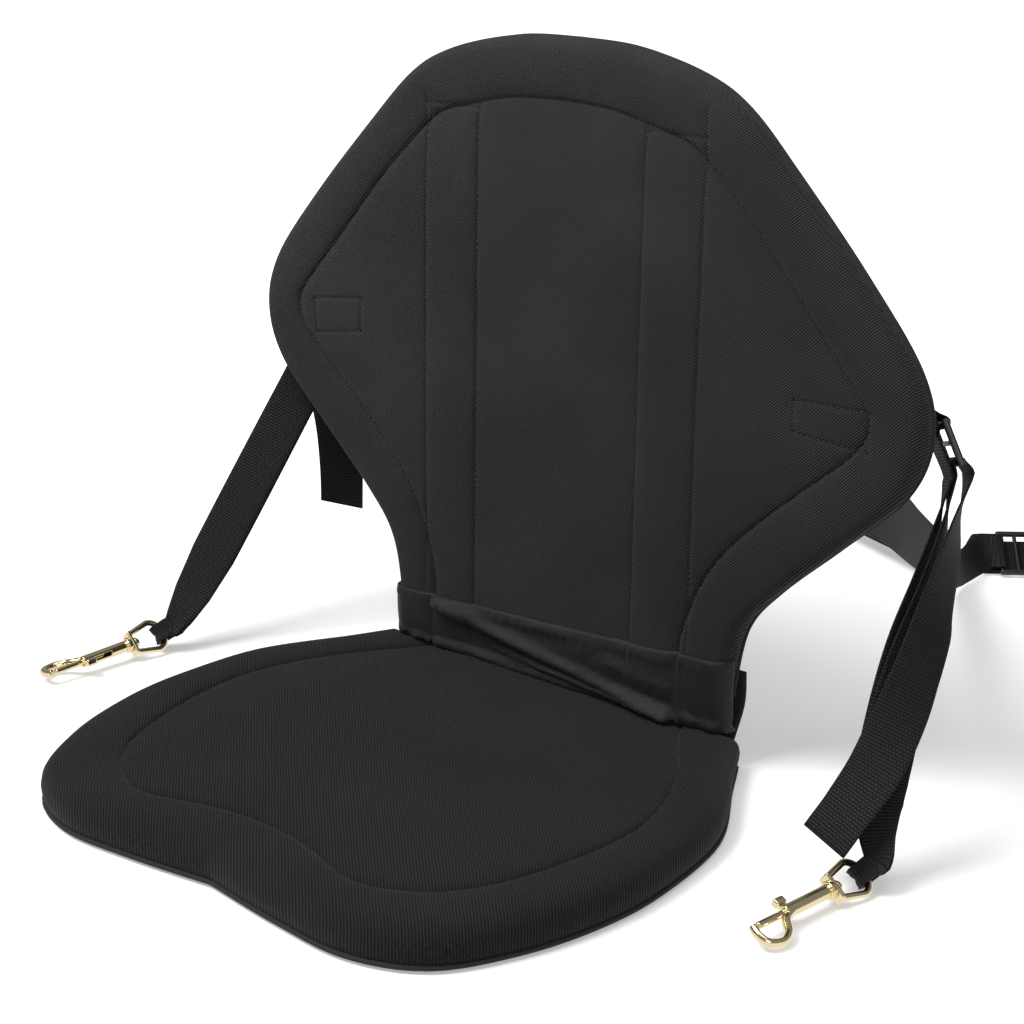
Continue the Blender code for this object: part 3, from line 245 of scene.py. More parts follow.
BACK_CLOTH = twill("back_cloth", (-1.0, 0.0, 1.0), (0.003, 0.003, 0.0032), (0.046, 0.046, 0.047))
PAD_CLOTH = twill("seat_cloth", (1.0, 1.0, 0.0), (0.002, 0.002, 0.0022), (0.017, 0.017, 0.018), 0.0018)
PLAIN = ((0.014, 0.014, 0.015), (0.03, 0.03, 0.031), 0.0009, 0.00012, 0.7)
PANEL_CLOTH = twill("panel_cloth", (-1.0, 0.0, 1.0), *PLAIN)
BASE_CLOTH = twill("base_cloth", (1.0, 1.0, 0.0), *PLAIN)
SATIN = twill("hinge_cloth", (-1.0, 0.0, 1.0), (0.003, 0.003, 0.0032), (0.028, 0.028, 0.029), 0.0015, 0.0003, 0.55,
              0.06)
WEBBING = webbing_cloth("webbing", (0.001, 0.001, 0.0011), (0.016, 0.016, 0.017))
THREAD = thread_material()
BRASS = brass_material()
PLASTIC = plastic_material("lock_plastic", (0.006, 0.006, 0.007), (0.012, 0.012, 0.013), 0.28)


# Shapes

def new_object(name, data):
    made = bpy.data.objects.new(name, data)
    bpy.context.collection.objects.link(made)
    return made


def add_piece(name, mesh, material, body="seat", replaces=()):
    piece = new_object(name, mesh)
    mesh.materials.append(material)
    mesh.shade_smooth()
    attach(piece, body)
    if replaces:
        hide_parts(*replaces)
    return piece


def mesh_of(name, points, faces):
    mesh = bpy.data.meshes.new(name)
    mesh.from_pydata([tuple(p) for p in points], [], faces)
    bm = bmesh.new()
    bm.from_mesh(mesh)
    bmesh.ops.recalc_face_normals(bm, faces=bm.faces)
    bm.to_mesh(mesh)
    bm.free()
    return mesh


def ring_faces(low, high, sides):
    """Faces between two rings of points, given by the number of each ring's first point."""
    return [(low + k, low + (k + 1) % sides, high + (k + 1) % sides, high + k) for k in range(sides)]


def tangent_at(path, index):
    return (path[min(index + 1, len(path) - 1)] - path[max(index - 1, 0)]).normalized()


def square_to(vector, axis):
    """The direction of a vector less its share along an axis."""
    return (vector - axis * vector.dot(axis)).normalized()


def smooth_path(points, steps):
    path = []
    last = len(points) - 1
    for index in range(last):
        before, start, end = points[max(index - 1, 0)], points[index], points[index + 1]
        after = points[min(index + 2, last)]
        for step in range(steps):
            t = step / steps
            path.append(0.5 * (2 * start + (end - before) * t + (2 * before - 5 * start + 4 * end - after) * t * t
                               + (3 * start - before - 3 * end + after) * t ** 3))
    path.append(points[last])
    return path


def resampled(line, spacing, closed=False):
    """Evenly spaced points along a polyline."""
    line = np.asarray([tuple(p) for p in line])
    if closed:
        line = np.vstack([line, line[:1]])
    lengths = np.concatenate([[0.0], np.cumsum(np.linalg.norm(np.diff(line, axis=0), axis=1))])
    count = max(2, int(round(lengths[-1] / spacing)) + 1)
    places = np.linspace(0.0, lengths[-1], count)
    even = np.stack([np.interp(places, lengths, line[:, k]) for k in range(line.shape[1])], axis=1)
    return even[:-1] if closed else even


def mirrored(half, steps):
    """A smooth line through half an outline that ends on the middle, and back along its mirror image."""
    side = smooth_path([Vector(p) for p in half], steps)
    return side + [Vector((-p.x, p.y)) for p in reversed(side[:-1])]


def outline_of(shares, width, length):
    return resampled(mirrored([(u * width / 2, v * length) for u, v in shares], 8), OUTLINE_STEP, closed=True)


def seam_of(half):
    return resampled(mirrored([(u / 1000, v / 1000) for u, v in half], 6), SEAM_STEP)


def normals_of(line, closed):
    if closed:
        along = np.roll(line, -1, axis=0) - np.roll(line, 1, axis=0)
    else:
        along = np.gradient(line, axis=0)
    along /= np.linalg.norm(along, axis=1)[:, None] + 1e-12
    return np.stack([-along[:, 1], along[:, 0]], axis=1)


def distance(points, line, closed=False):
    """Distance of each point to a polyline, and the length along it at the nearest place."""
    ends = np.vstack([line, line[:1]]) if closed else line
    best = np.full(len(points), 1e9)
    along = np.zeros(len(points))
    travelled = 0.0
    for start, end in zip(ends[:-1], ends[1:]):
        span = end - start
        size = float(span @ span)
        t = np.clip(((points - start) @ span) / (size + 1e-15), 0.0, 1.0)
        gap = np.linalg.norm(points - start - t[:, None] * span, axis=1)
        nearer = gap < best
        best = np.where(nearer, gap, best)
        along = np.where(nearer, travelled + t * math.sqrt(size), along)
        travelled += math.sqrt(size)
    return best, along


def inside(points, loop):
    """Which points lie inside a closed loop."""
    x, y = points[:, 0], points[:, 1]
    result = np.zeros(len(points), bool)
    ends = np.roll(loop, -1, axis=0)
    for (ax, ay), (bx, by) in zip(loop, ends):
        crosses = (ay > y) != (by > y)
        with np.errstate(divide="ignore", invalid="ignore"):
            at = (bx - ax) * (y - ay) / (by - ay) + ax
        result ^= crosses & (x < at)
    return result


def rippled(along, across, size, seed):
    """Smooth noise that runs along a line."""
    return np.array([noise.noise(Vector((a / size, c / size * 0.4, seed))) for a, c in zip(along, across)])


def inward_of(outline):
    inward = normals_of(outline, True)
    return inward if inside(outline[:1] + inward[:1] * 0.002, outline)[0] else -inward


def inset_loop(outline, amount):
    return outline + inward_of(outline) * amount


@dataclass
class Cushion:
    """A padded form over an outline: a rolled rim, a sunk seam, and an inner panel with stitched lines."""
    outline: np.ndarray
    seam: np.ndarray
    lines: list
    thick: float
    edge: float
    seam_depth: float
    seam_reach: float
    panel: object
    seed: float
    dip: float = 0.0008
    ceiling: float = 1.0

    def sewn(self):
        return [self.seam] + [entry[0] for entry in self.lines]

    def height(self, points):
        rim, _ = distance(points, self.outline, closed=True)
        gap, along = distance(points, self.seam)
        within = inside(points, self.seam)
        turn = np.clip(rim / self.edge, 0.0, 1.0)
        roll = self.thick / 2 + self.thick / 2 * np.sqrt(np.clip(1 - (1 - turn) ** 2, 0, 1))
        roll = roll + self.dip * np.sin(np.pi * np.clip(rim / (rim + gap + 1e-9), 0, 1))
        rise = 1 - np.exp(-(gap / 0.016) ** 1.2)
        flat = self.panel(points) * rise + (self.thick - self.dip) * (1 - rise)
        top = np.where(within, np.minimum(flat, roll + 0.004), roll)
        ripple = rippled(along, gap, 0.011, self.seed)
        sink = self.seam_depth * (1 + 0.16 * ripple)
        reach = self.seam_reach * np.where(within, 0.85, 1.0)
        top = top - sink * np.exp(-(gap / reach) ** 1.25) - 0.5 * self.dip * np.exp(-(gap / 0.006) ** 2)
        top = top + 0.00045 * ripple * np.exp(-((gap - 0.006) / 0.006) ** 2)
        for line, depth, width in self.lines:
            off, run = distance(points, line)
            pucker = rippled(run, off, 0.008, self.seed + 3.0)
            top = top - depth * (1 + 0.35 * pucker) * np.exp(-(off / width) ** 1.6)
            top = top + 0.00025 * pucker * np.exp(-((off - 0.004) / 0.004) ** 2)
        drift = np.array([noise.noise(Vector((p[0] * 16, p[1] * 16, self.seed + 7.0))) for p in points])
        top = np.minimum(top + 0.0006 * drift * turn, self.ceiling)
        return np.where(rim > 1e-5, top, self.thick / 2)

    def plan(self, spacing):
        """Points and triangles of the plan, dense by the edge and by every stitched line."""
        inward = inward_of(self.outline)
        kept = self.outline

        def add(candidates, clear):
            """Keeps the candidates that lie inside and clear of every point kept so far."""
            nonlocal kept
            candidates = candidates[inside(candidates, self.outline)]
            candidates = candidates[distance(candidates, self.outline, closed=True)[0] > 0.00025]
            cells, fresh = {}, []
            for p in kept:
                cells.setdefault((int(p[0] // clear), int(p[1] // clear)), []).append(p)
            for p in candidates:
                column, row = int(p[0] // clear), int(p[1] // clear)
                near = [q for dx in (-1, 0, 1) for dy in (-1, 0, 1) for q in cells.get((column + dx, row + dy), ())]
                if all((q[0] - p[0]) ** 2 + (q[1] - p[1]) ** 2 >= clear * clear for q in near):
                    fresh.append(p)
                    cells.setdefault((column, row), []).append(p)
            if fresh:
                kept = np.vstack([kept, fresh])

        for angle in (14, 28, 42, 57, 73, 90):
            add(self.outline + inward * self.edge * (1 - math.cos(math.radians(angle))), 0.0003)
        for line in self.sewn():
            across = normals_of(line, False)
            add(line, 0.0005)
            for offset in (-0.0007, 0.0007, -0.0015, 0.0015, -0.0027, 0.0027):
                add(line + across * offset, 0.0006)
        across = normals_of(self.seam, False)
        for offset in (-0.0045, 0.0045, -0.0075, 0.0075):
            add(self.seam + across * offset, 0.0018)
        low, high = self.outline.min(axis=0), self.outline.max(axis=0)
        fill = []
        rows = int((high[1] - low[1]) / (spacing * 0.866)) + 1
        columns = int((high[0] - low[0]) / spacing) + 1
        for r in range(rows):
            for c in range(columns):
                fill.append((low[0] + (c + 0.5 * (r % 2)) * spacing, low[1] + r * spacing * 0.866))
        add(np.array(fill), spacing * 0.62)
        count = len(self.outline)
        verts, _, faces, origins, _, _ = delaunay_2d_cdt([Vector(p) for p in kept], [], [list(range(count))], 1, 1e-7)
        place = {}
        for index, sources in enumerate(origins):
            for source in sources:
                place[source] = index
        ring = [place[k] for k in range(count)]
        return np.array([tuple(v) for v in verts]), [tuple(f) for f in faces], ring, inward

    def mesh(self, name, place, spacing=0.0052):
        plan, faces, ring, inward = self.plan(spacing)
        heights = self.height(plan)
        heights[ring] = self.thick / 2
        points = [place(p[0], p[1], h) for p, h in zip(plan, heights)]
        front_count = len(points)
        previous = ring
        count = len(ring)
        low_ring = None
        for angle in (22, 45, 68, 88):
            turn = math.radians(angle)
            inset = self.edge * 0.62 * (1 - math.cos(turn))
            level = self.thick / 2 * (1 - math.sin(turn))
            start = len(points)
            low_ring = self.outline + inward * inset
            points += [place(p[0], p[1], level) for p in low_ring]
            current = list(range(start, start + count))
            for k in range(count):
                after = (k + 1) % count
                faces.append((previous[k], previous[after], current[after], current[k]))
            previous = current
        sparse = [Vector(p) for p in low_ring]
        low, high = low_ring.min(axis=0), low_ring.max(axis=0)
        for r in range(1, int((high[1] - low[1]) / 0.02)):
            row = np.array([(low[0] + c * 0.02, low[1] + r * 0.02) for c in range(1, int((high[0] - low[0]) / 0.02))])
            rim, _ = distance(row, low_ring, closed=True)
            sparse += [Vector(p) for p in row[inside(row, low_ring) & (rim > 0.006)]]
        verts, _, rear, origins, _, _ = delaunay_2d_cdt(sparse, [], [list(range(count))], 1, 1e-7)
        mapped = []
        for vert, sources in zip(verts, origins):
            source = min(sources) if sources else count
            if source < count:
                mapped.append(previous[source])
            else:
                mapped.append(len(points))
                points.append(place(vert[0], vert[1], 0.0))
        faces += [tuple(mapped[k] for k in face) for face in rear]
        mesh = mesh_of(name, points, faces)
        near = np.full(front_count, 1e9)
        for line in self.sewn():
            near = np.minimum(near, distance(plan, line)[0])
        rim, _ = distance(plan, self.outline, closed=True)
        pins = set(np.nonzero((near < 0.0034) | (rim < 0.0016))[0].tolist()) | set(range(front_count, len(points)))
        return mesh, pins


SWELL_FRAMES = 20


def puffed(piece, pins, cap, pressure=4.0):
    """Lets air pressure swell the cloth between its pinned seams, then keeps what it gives up to the cap."""
    group = piece.vertex_groups.new(name="pins")
    group.add(sorted(pins), 1.0, "REPLACE")
    before = np.empty(len(piece.data.vertices) * 3)
    piece.data.vertices.foreach_get("co", before)
    before = before.reshape(-1, 3)
    modifier = piece.modifiers.new("Cloth", "CLOTH")
    stiffness = dict(tension_stiffness=25, compression_stiffness=25, shear_stiffness=12, bending_stiffness=1.5)
    for key, value in dict(quality=4, mass=0.25, use_pressure=True, uniform_pressure_force=pressure,
                           vertex_group_mass="pins", **stiffness).items():
        setattr(modifier.settings, key, value)
    modifier.settings.effector_weights.gravity = 0.0
    modifier.point_cache.frame_start, modifier.point_cache.frame_end = 1, SWELL_FRAMES
    for number in range(1, SWELL_FRAMES + 1):
        bpy.context.scene.frame_set(number)
    evaluated = piece.evaluated_get(bpy.context.evaluated_depsgraph_get())
    after = np.empty(len(piece.data.vertices) * 3)
    evaluated.data.vertices.foreach_get("co", after)
    after = after.reshape(-1, 3)
    piece.modifiers.remove(modifier)
    piece.vertex_groups.clear()
    bpy.context.scene.frame_set(1)
    move = after - before
    size = np.linalg.norm(move, axis=1)
    move *= (cap * np.tanh(size / cap) / np.maximum(size, 1e-9))[:, None]
    piece.data.vertices.foreach_set("co", (before + move).ravel())
    piece.data.update()


def stitches(name, lines, tree, toward, pitch=0.004, thread=0.0005, sink=0.0):
    """Short thread stitches along lines, laid on the surface that a ray along toward meets."""
    points, faces = [], []
    for line in lines:
        even = resampled(line, pitch)
        for start, end in zip(even[:-1], even[1:]):
            a, b = Vector(start), Vector(end)
            ends = []
            for share in (0.12, 0.5, 0.88):
                place = a.lerp(b, share)
                ends.append(tree.ray_cast(place - toward * 0.5, toward)[0])
            if None in ends:
                continue
            along = (ends[2] - ends[0]).normalized()
            side = along.cross(toward).normalized()
            base = len(points)
            for k, (place, size) in enumerate(zip(ends, (0.45, 1.0, 0.45))):
                middle = place - toward * (thread * (0.15 + 0.5 * (k == 1)) - sink)
                for turn in range(6):
                    angle = math.pi * turn / 3
                    points.append(middle + (side * math.cos(angle) - toward * math.sin(angle)) * thread * size)
            faces += ring_faces(base, base + 6, 6) + ring_faces(base + 6, base + 12, 6)
            faces.append(tuple(base + turn for turn in range(6)))
            faces.append(tuple(base + 12 + turn for turn in range(6)))
    return add_piece(name, mesh_of(name, points, faces), THREAD)


def piping(name, loop, material, sides=8):
    """A round cord along a closed loop of points."""
    count = len(loop)
    points, faces = [], []
    for k, place in enumerate(loop):
        along = (loop[(k + 1) % count] - loop[k - 1]).normalized()
        side = along.cross(Vector((0.0, 1.0, 0.0)) if abs(along.y) < 0.6 else Vector((0.0, 0.0, 1.0))).normalized()
        other = along.cross(side)
        for turn in range(sides):
            angle = 2 * math.pi * turn / sides
            points.append(place + side * math.cos(angle) * PIPING_RADIUS + other * math.sin(angle) * PIPING_RADIUS)
        faces += ring_faces(k * sides, (k + 1) % count * sides, sides)
    return add_piece(name, mesh_of(name, points, faces), material)


# Cushions

def pad_place(u, v, height):
    return Vector((u, HINGE_Y - v, PAD_BOTTOM + height))


def back_place(u, v, height):
    return Vector((u, BACK_REAR_Y - height, BACK_BOTTOM + v))


STAY_FRONT = BACK_REAR_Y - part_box("stay_right")[0][1]


def pad_panel(points):
    return PAD_THICK + 0.001 - 0.0022 * np.clip((points[:, 1] - 0.05) / 0.3, 0, 1) * np.cos(points[:, 0] * 9) * 0.4


def back_panel(points):
    level = np.full(len(points), BACK_THICK + 0.0006)
    for low, high in CHANNELS:
        share = np.clip((points[:, 0] - low) / (high - low), 0, 1)
        bulge = np.clip(np.sin(np.pi * share), 0, 1) ** 0.35
        within = (points[:, 0] > low) & (points[:, 0] < high)
        level = np.where(within, level + (STAY_FRONT + 0.0004 - level) * 0.7 * bulge, level)
    return level


def straight(a, b):
    return resampled([a, b], SEAM_STEP)


pad_outline = outline_of(PAD_OUTLINE, PAD_WIDTH, PAD_LENGTH)
back_outline = outline_of(BACK_OUTLINE, BACK_WIDTH, BACK_HEIGHT)
pad_seam, back_seam = seam_of(PAD_SEAM), seam_of(BACK_SEAM)
channel_lines = []
for low, high in CHANNELS:
    for x in (low, high):
        head = 0.3775 if x == high and x > 0 else 0.3625
        channel_lines.append(straight((x, CHANNEL_FOOT), (x, head)))
    channel_lines.append(straight((low, CHANNEL_SEAM), (high, CHANNEL_SEAM)))
BOXES = (((0.179, 0.2125), (0.231, 0.2135), (0.231, 0.1885), (0.18, 0.1925)),
         ((-0.214, 0.2125), (-0.169, 0.2195), (-0.17, 0.1955), (-0.212, 0.1885)))
box_lines = []
for corners in BOXES:
    box_lines += [straight(corners[k], corners[(k + 1) % 4]) for k in range(4)]

pad_form = Cushion(pad_outline, pad_seam, [], PAD_THICK, 0.01, 0.0026, 0.0017, pad_panel, 1.0)
back_form = Cushion(back_outline, back_seam, [(line, 0.0013, 0.0012) for line in channel_lines]
                    + [(line, 0.0012, 0.0011) for line in box_lines], BACK_THICK, 0.008, 0.0024, 0.0015,
                    back_panel, 5.0)
pad_mesh, pad_pins = pad_form.mesh("seat_pad", pad_place)
back_mesh, back_pins = back_form.mesh("backrest", back_place)
pad = add_piece("seat_pad", pad_mesh, PAD_CLOTH, replaces=("seat_cushion",))
back = add_piece("backrest", back_mesh, BACK_CLOTH,
                 replaces=("back_cushion", "stay_channel_right", "stay_channel_left", "stay_right", "stay_left"))
puffed(pad, pad_pins, 0.001)
puffed(back, back_pins, 0.0009)


def tree_of(piece):
    mesh = piece.data
    return BVHTree.FromPolygons([v.co for v in mesh.vertices], [p.vertices for p in mesh.polygons])


back_tree, pad_tree = tree_of(back), tree_of(pad)
FORWARD, DOWN = Vector((0.0, 1.0, 0.0)), Vector((0.0, 0.0, -1.0))
on_back = [[(p[0], -0.2, BACK_BOTTOM + p[1]) for p in line] for line in [back_seam] + channel_lines + box_lines]
stitches("back_stitching", on_back, back_tree, FORWARD)
on_pad = [[(p[0], HINGE_Y - p[1], 0.3) for p in pad_seam]]
stitches("pad_stitching", on_pad, pad_tree, DOWN)


# Rear and base panels, with a corded edge where cushion and panel are sewn together

def area_of(loop):
    x, y = loop[:, 0], loop[:, 1]
    return float(abs(x @ np.roll(y, -1) - y @ np.roll(x, -1)) / 2)


def thin_level(points):
    return np.full(len(points), CLOTH + 0.0002)


def panel_of(name, outline, place, material, seed, replaced, ceiling=1.0):
    """A thin cloth panel, turned in along its edge and sewn inside it."""
    edge = inset_loop(outline, PANEL_INSET)
    sewn = inset_loop(outline, PANEL_SEAM)
    form = Cushion(edge, np.vstack([sewn, sewn[:1]]), [], CLOTH, 0.0008, 0.0004, 0.0016, thin_level, seed, 0.0001,
                   ceiling)
    return add_piece(name, form.mesh(name, place, 0.009)[0], material, replaces=(replaced,))


def rear_place(u, v, height):
    return Vector((u, BACK_REAR_Y + SEAT_GAP + height, BACK_BOTTOM + v))


def base_place(u, v, height):
    return Vector((u, HINGE_Y - v, CLOTH - height))


rear_panel = panel_of("rear_panel", back_outline, rear_place, PANEL_CLOTH, 11.0, "back_rear_panel")
base_panel = panel_of("base_panel", pad_outline, base_place, BASE_CLOTH, 13.0, "seat_base_panel", CLOTH)
for panel, width, length, outline, under in ((rear_panel, BACK_WIDTH, BACK_HEIGHT, back_outline, "backrest"),
                                             (base_panel, PAD_WIDTH, PAD_LENGTH, pad_outline, "seat_pad")):
    area_of(inset_loop(outline, PANEL_INSET))
piping("back_piping", [Vector((p[0], BACK_REAR_Y - PIPING_LIFT, BACK_BOTTOM + p[1]))
                       for p in inset_loop(back_outline, PIPING_INSET)], PANEL_CLOTH)
piping("pad_piping", [Vector((p[0], HINGE_Y - p[1], PAD_BOTTOM + PIPING_LIFT))
                      for p in inset_loop(pad_outline, PIPING_INSET)], BASE_CLOTH)
stitches("rear_stitching", [[(p[0], 0.4, BACK_BOTTOM + p[1]) for p in inset_loop(back_outline, PANEL_SEAM)]],
         tree_of(rear_panel), -FORWARD)
stitches("base_stitching", [[(p[0], HINGE_Y - p[1], -0.3) for p in inset_loop(pad_outline, PANEL_SEAM)]],
         tree_of(base_panel), -DOWN, sink=0.0005)


# Webbing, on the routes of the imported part

class Station:
    """One place on a strap: its middle, the direction across it, its width and the eye's bow there."""

    def __init__(self, point, across, width=WEB_WIDTH, bow=None):
        self.point = Vector(point)
        self.across = Vector(across)
        self.width = width
        self.bow = Vector(bow) if bow is not None else Vector((0.0, 0.0, 0.0))


def stations_at(place, rows, *side):
    """Stations from rows of three coordinates and the direction across, placed by at_hinge or at_anchor."""
    return [Station(place(*side, *row[:3]), row[3]) for row in rows]


def smooth_stations(stations, steps):
    smooth = []
    for index, point in enumerate(smooth_path([s.point for s in stations], steps)):
        whole, part = divmod(index, steps)
        start = stations[whole]
        end = stations[min(whole + 1, len(stations) - 1)]
        t = part / steps
        smooth.append(Station(point, start.across.lerp(end.across, t), start.width + (end.width - start.width) * t,
                              start.bow.lerp(end.bow, t)))
    return smooth


# Columns across a strap: place, and share of the full thickness there
WEB_COLUMNS = ((-1.0, 0.35), (-0.95, 0.85), (-0.82, 1.0), (-0.42, 0.96), (0.0, 1.0), (0.42, 0.96), (0.82, 1.0),
               (0.95, 0.85), (1.0, 0.35))


def with_uv(mesh, places):
    """Gives each vertex its place on the flat cloth, in metres."""
    layer = mesh.uv_layers.new(name="flat")
    for loop in mesh.loops:
        layer.data[loop.index].uv = places[loop.vertex_index]


def sheet_faces(rows, columns):
    """Faces of a closed sheet whose front points come before its back points."""
    size = rows * columns
    faces = []
    for r in range(rows - 1):
        for c in range(columns - 1):
            a = r * columns + c
            faces.append((a, a + 1, a + columns + 1, a + columns))
            faces.append((size + a, size + a + columns, size + a + columns + 1, size + a + 1))
    edge = list(range(columns)) + [r * columns + columns - 1 for r in range(1, rows)]
    edge += [(rows - 1) * columns + c for c in range(columns - 2, -1, -1)]
    edge += [r * columns for r in range(rows - 2, 0, -1)]
    for a, b in zip(edge, edge[1:] + edge[:1]):
        faces.append((a, b, size + b, size + a))
    return faces


def ribbon(name, stations, slant=0.0):
    """A woven strap: thinner at its selvedges, and folded lengthways where the eye bunches it."""
    stations = smooth_stations(stations, 4)
    last = len(stations) - 1
    run = 0.0
    front, back, flat = [], [], []
    for index, station in enumerate(stations):
        if index:
            run += (station.point - stations[index - 1].point).length
        tangent = tangent_at([s.point for s in stations], index)
        across = square_to(station.across, tangent)
        normal = tangent.cross(across)
        bunched = (WEB_WIDTH - station.width) / (WEB_WIDTH - WEB_BUNCHED)
        thick = WEB_THICK * (1 + 1.1 * bunched)
        for column, full in WEB_COLUMNS:
            fold = 0.0005 * bunched * math.cos(3 * math.pi * column)
            middle = station.point + across * column * station.width / 2 + station.bow * column * column
            middle = middle + normal * fold
            if index == last:
                middle = middle + tangent * slant * column
            front.append(middle + normal * thick * full / 2)
            back.append(middle - normal * thick * full / 2)
            flat.append(((column + 1) * WEB_WIDTH / 2, run))
    mesh = mesh_of(name, front + back, sheet_faces(last + 1, len(WEB_COLUMNS)))
    with_uv(mesh, flat + flat)
    return add_piece(f"webbing_{name}", mesh, WEBBING, replaces=(name,))


class Lock:
    """Where a ladder lock lies: its middle, its run away from the anchor bar, and its bars' direction."""

    def __init__(self, middle, run, bars):
        self.middle = Vector(middle)
        self.run = Vector(run).normalized()
        self.bars = square_to(Vector(bars), self.run)
        self.face = self.run.cross(self.bars)
        reach = (LOCK_LENGTH - LOCK_BAR) / 2
        self.anchor_bar = self.middle - self.run * reach
        self.grip_bar = self.middle + self.run * reach


class Snap:
    """Where a snap lies: the middle of its swivel plate, its axis to the nose, its eye's and its hook's tilt."""

    def __init__(self, plate, axis, eye_tilt, hook_tilt, hook_side):
        self.plate = Vector(plate)
        self.axis = Vector(axis).normalized()
        level = Vector((-self.axis.y, self.axis.x, 0.0)).normalized()
        upright = self.axis.cross(level) if self.axis.cross(level).z > 0 else level.cross(self.axis)
        tilt = math.radians(eye_tilt)
        self.eye_across = level * math.cos(tilt) - upright * math.sin(tilt)
        tilt = math.radians(hook_tilt)
        self.hook_out = level * hook_side * math.cos(tilt) - upright * math.sin(tilt)
        self.bow_middle = self.plate - self.axis * EYE_LENGTH

    def matrix(self, out):
        rows = Matrix((self.axis, out, self.axis.cross(out))).transposed()
        return Matrix.Translation(self.plate) @ rows.to_4x4()


def at_hinge(x, behind, z):
    return Vector((x, HINGE_Y + behind, z))


def at_anchor(side, beyond, behind, z):
    return at_hinge(side * (ANCHOR_OUTER + beyond), behind, z)


LOCKS = {
    "front_right": Lock(at_anchor(1, 0.036, 0.0364, ANCHOR_Z - 0.0067), (0.478, 0.0, -0.876),
                        (-0.59, 0.741, -0.321)),
    "front_left": Lock(at_anchor(-1, 0.02, 0.0385, ANCHOR_Z - 0.019), (-0.286, -0.423, -0.859),
                       (-0.774, -0.406, 0.485)),
    "rear_right": Lock(at_hinge(0.112, 0.462, 0.015), (0.78, 0.62, 0.0), (-0.51, 0.64, 0.57)),
    "rear_left": Lock(at_hinge(-0.112, 0.462, 0.015), (-0.78, 0.62, 0.0), (-0.51, -0.64, -0.57)),
}
SNAPS = {
    "front_right": Snap(at_anchor(1, 0.062, -0.113, 0.0102), (-0.15, -0.989, 0.0), 35, 24, 1),
    "front_left": Snap(at_anchor(-1, 0.067, -0.129, 0.012), (-0.11, -0.992, -0.05), 45, 12, -1),
    "rear_right": Snap(at_hinge(0.231, 0.5444, 0.0102), (0.93, 0.36, 0.0), 12, 24, 1),
    "rear_left": Snap(at_hinge(-0.231, 0.5444, 0.0102), (-0.93, 0.36, 0.0), -12, 24, -1),
}
TAB_SHAPE = {
    1: ((-1.0, 0.0, 0.15), (0.3, 0.25, 0.0), 1.0),
    -1: ((0.0163, -0.0231, 0.0079), (-0.3, 0.25, 0.0), 1.0),
}


def bunched_thick(width):
    return WEB_THICK * WEB_WIDTH / width


def loop_stations(centre, axis, pull, radius, width, turn=1, bow=None, steps=6):
    """A half turn round a bar, on the side away from the pull. A turn of 1 starts on the side pull x axis."""
    away = square_to(pull, axis)
    first = away.cross(axis) * turn
    stations = []
    for k in range(steps + 1):
        angle = math.pi * k / steps
        offset = first * math.cos(angle) - away * math.sin(angle)
        stations.append(Station(centre + offset * radius, axis, width, bow))
    return stations


def turning(keys, share):
    """The across direction at a share of a path, from evenly spaced keys."""
    place = min(share, 0.9999) * (len(keys) - 1)
    whole = int(place)
    return keys[whole].lerp(keys[whole + 1], place - whole)


def pair_stations(path, across_keys, loop_centre, loop_radius, width_end, bow=None, flat=0.0, twist=1.0,
                  slack=0.0):
    """Two plies along a path with a loop round a bar at its end, and a third ply outside the first."""
    length = sum((b - a).length for a, b in zip(path, path[1:]))
    first, second, outside = [], [], []
    travelled = 0.0
    for index, point in enumerate(path):
        if index:
            travelled += (point - path[index - 1]).length
        share = (max(0.0, travelled / length - flat) / (1.0 - flat)) ** twist
        tangent = tangent_at(path, index)
        across = square_to(turning(across_keys, share), tangent)
        normal = tangent.cross(across)
        closing = max(0.0, 1.0 - (length - travelled) / (WEB_WIDTH * BUNCH_REACH))
        closing = closing * closing * (3 - 2 * closing)
        width = WEB_WIDTH + (width_end - WEB_WIDTH) * closing
        apart = (bunched_thick(width) + WEB_STACK_GAP) / 2 + slack * math.sin(math.pi * min(1.0, share * 1.1))
        apart += TAB_LIFT if flat else 0.0
        apart += (loop_radius - apart) * max(0.0, closing * 2 - 1)
        curve = bow * closing if bow is not None else None
        first.append(Station(point - normal * apart, across, width, curve))
        second.append(Station(point + normal * apart, across, width, curve))
        beyond = apart * 2 + (WEB_THICK + WEB_STACK_GAP) / 2 + 3 * TAB_LIFT * min(1.0, share * 2)
        outside.append(Station(point - normal * beyond, across))
    loop = loop_stations(loop_centre, across_keys[-1], path[-2] - path[-1], loop_radius, width_end, 1, bow)
    return first + loop + second[::-1], outside


def bezier(start, start_out, end_out, end, steps):
    path = []
    for k in range(steps + 1):
        t = k / steps
        path.append(start * (1 - t) ** 3 + start_out * 3 * t * (1 - t) ** 2
                    + end_out * 3 * t * t * (1 - t) + end * t ** 3)
    return path


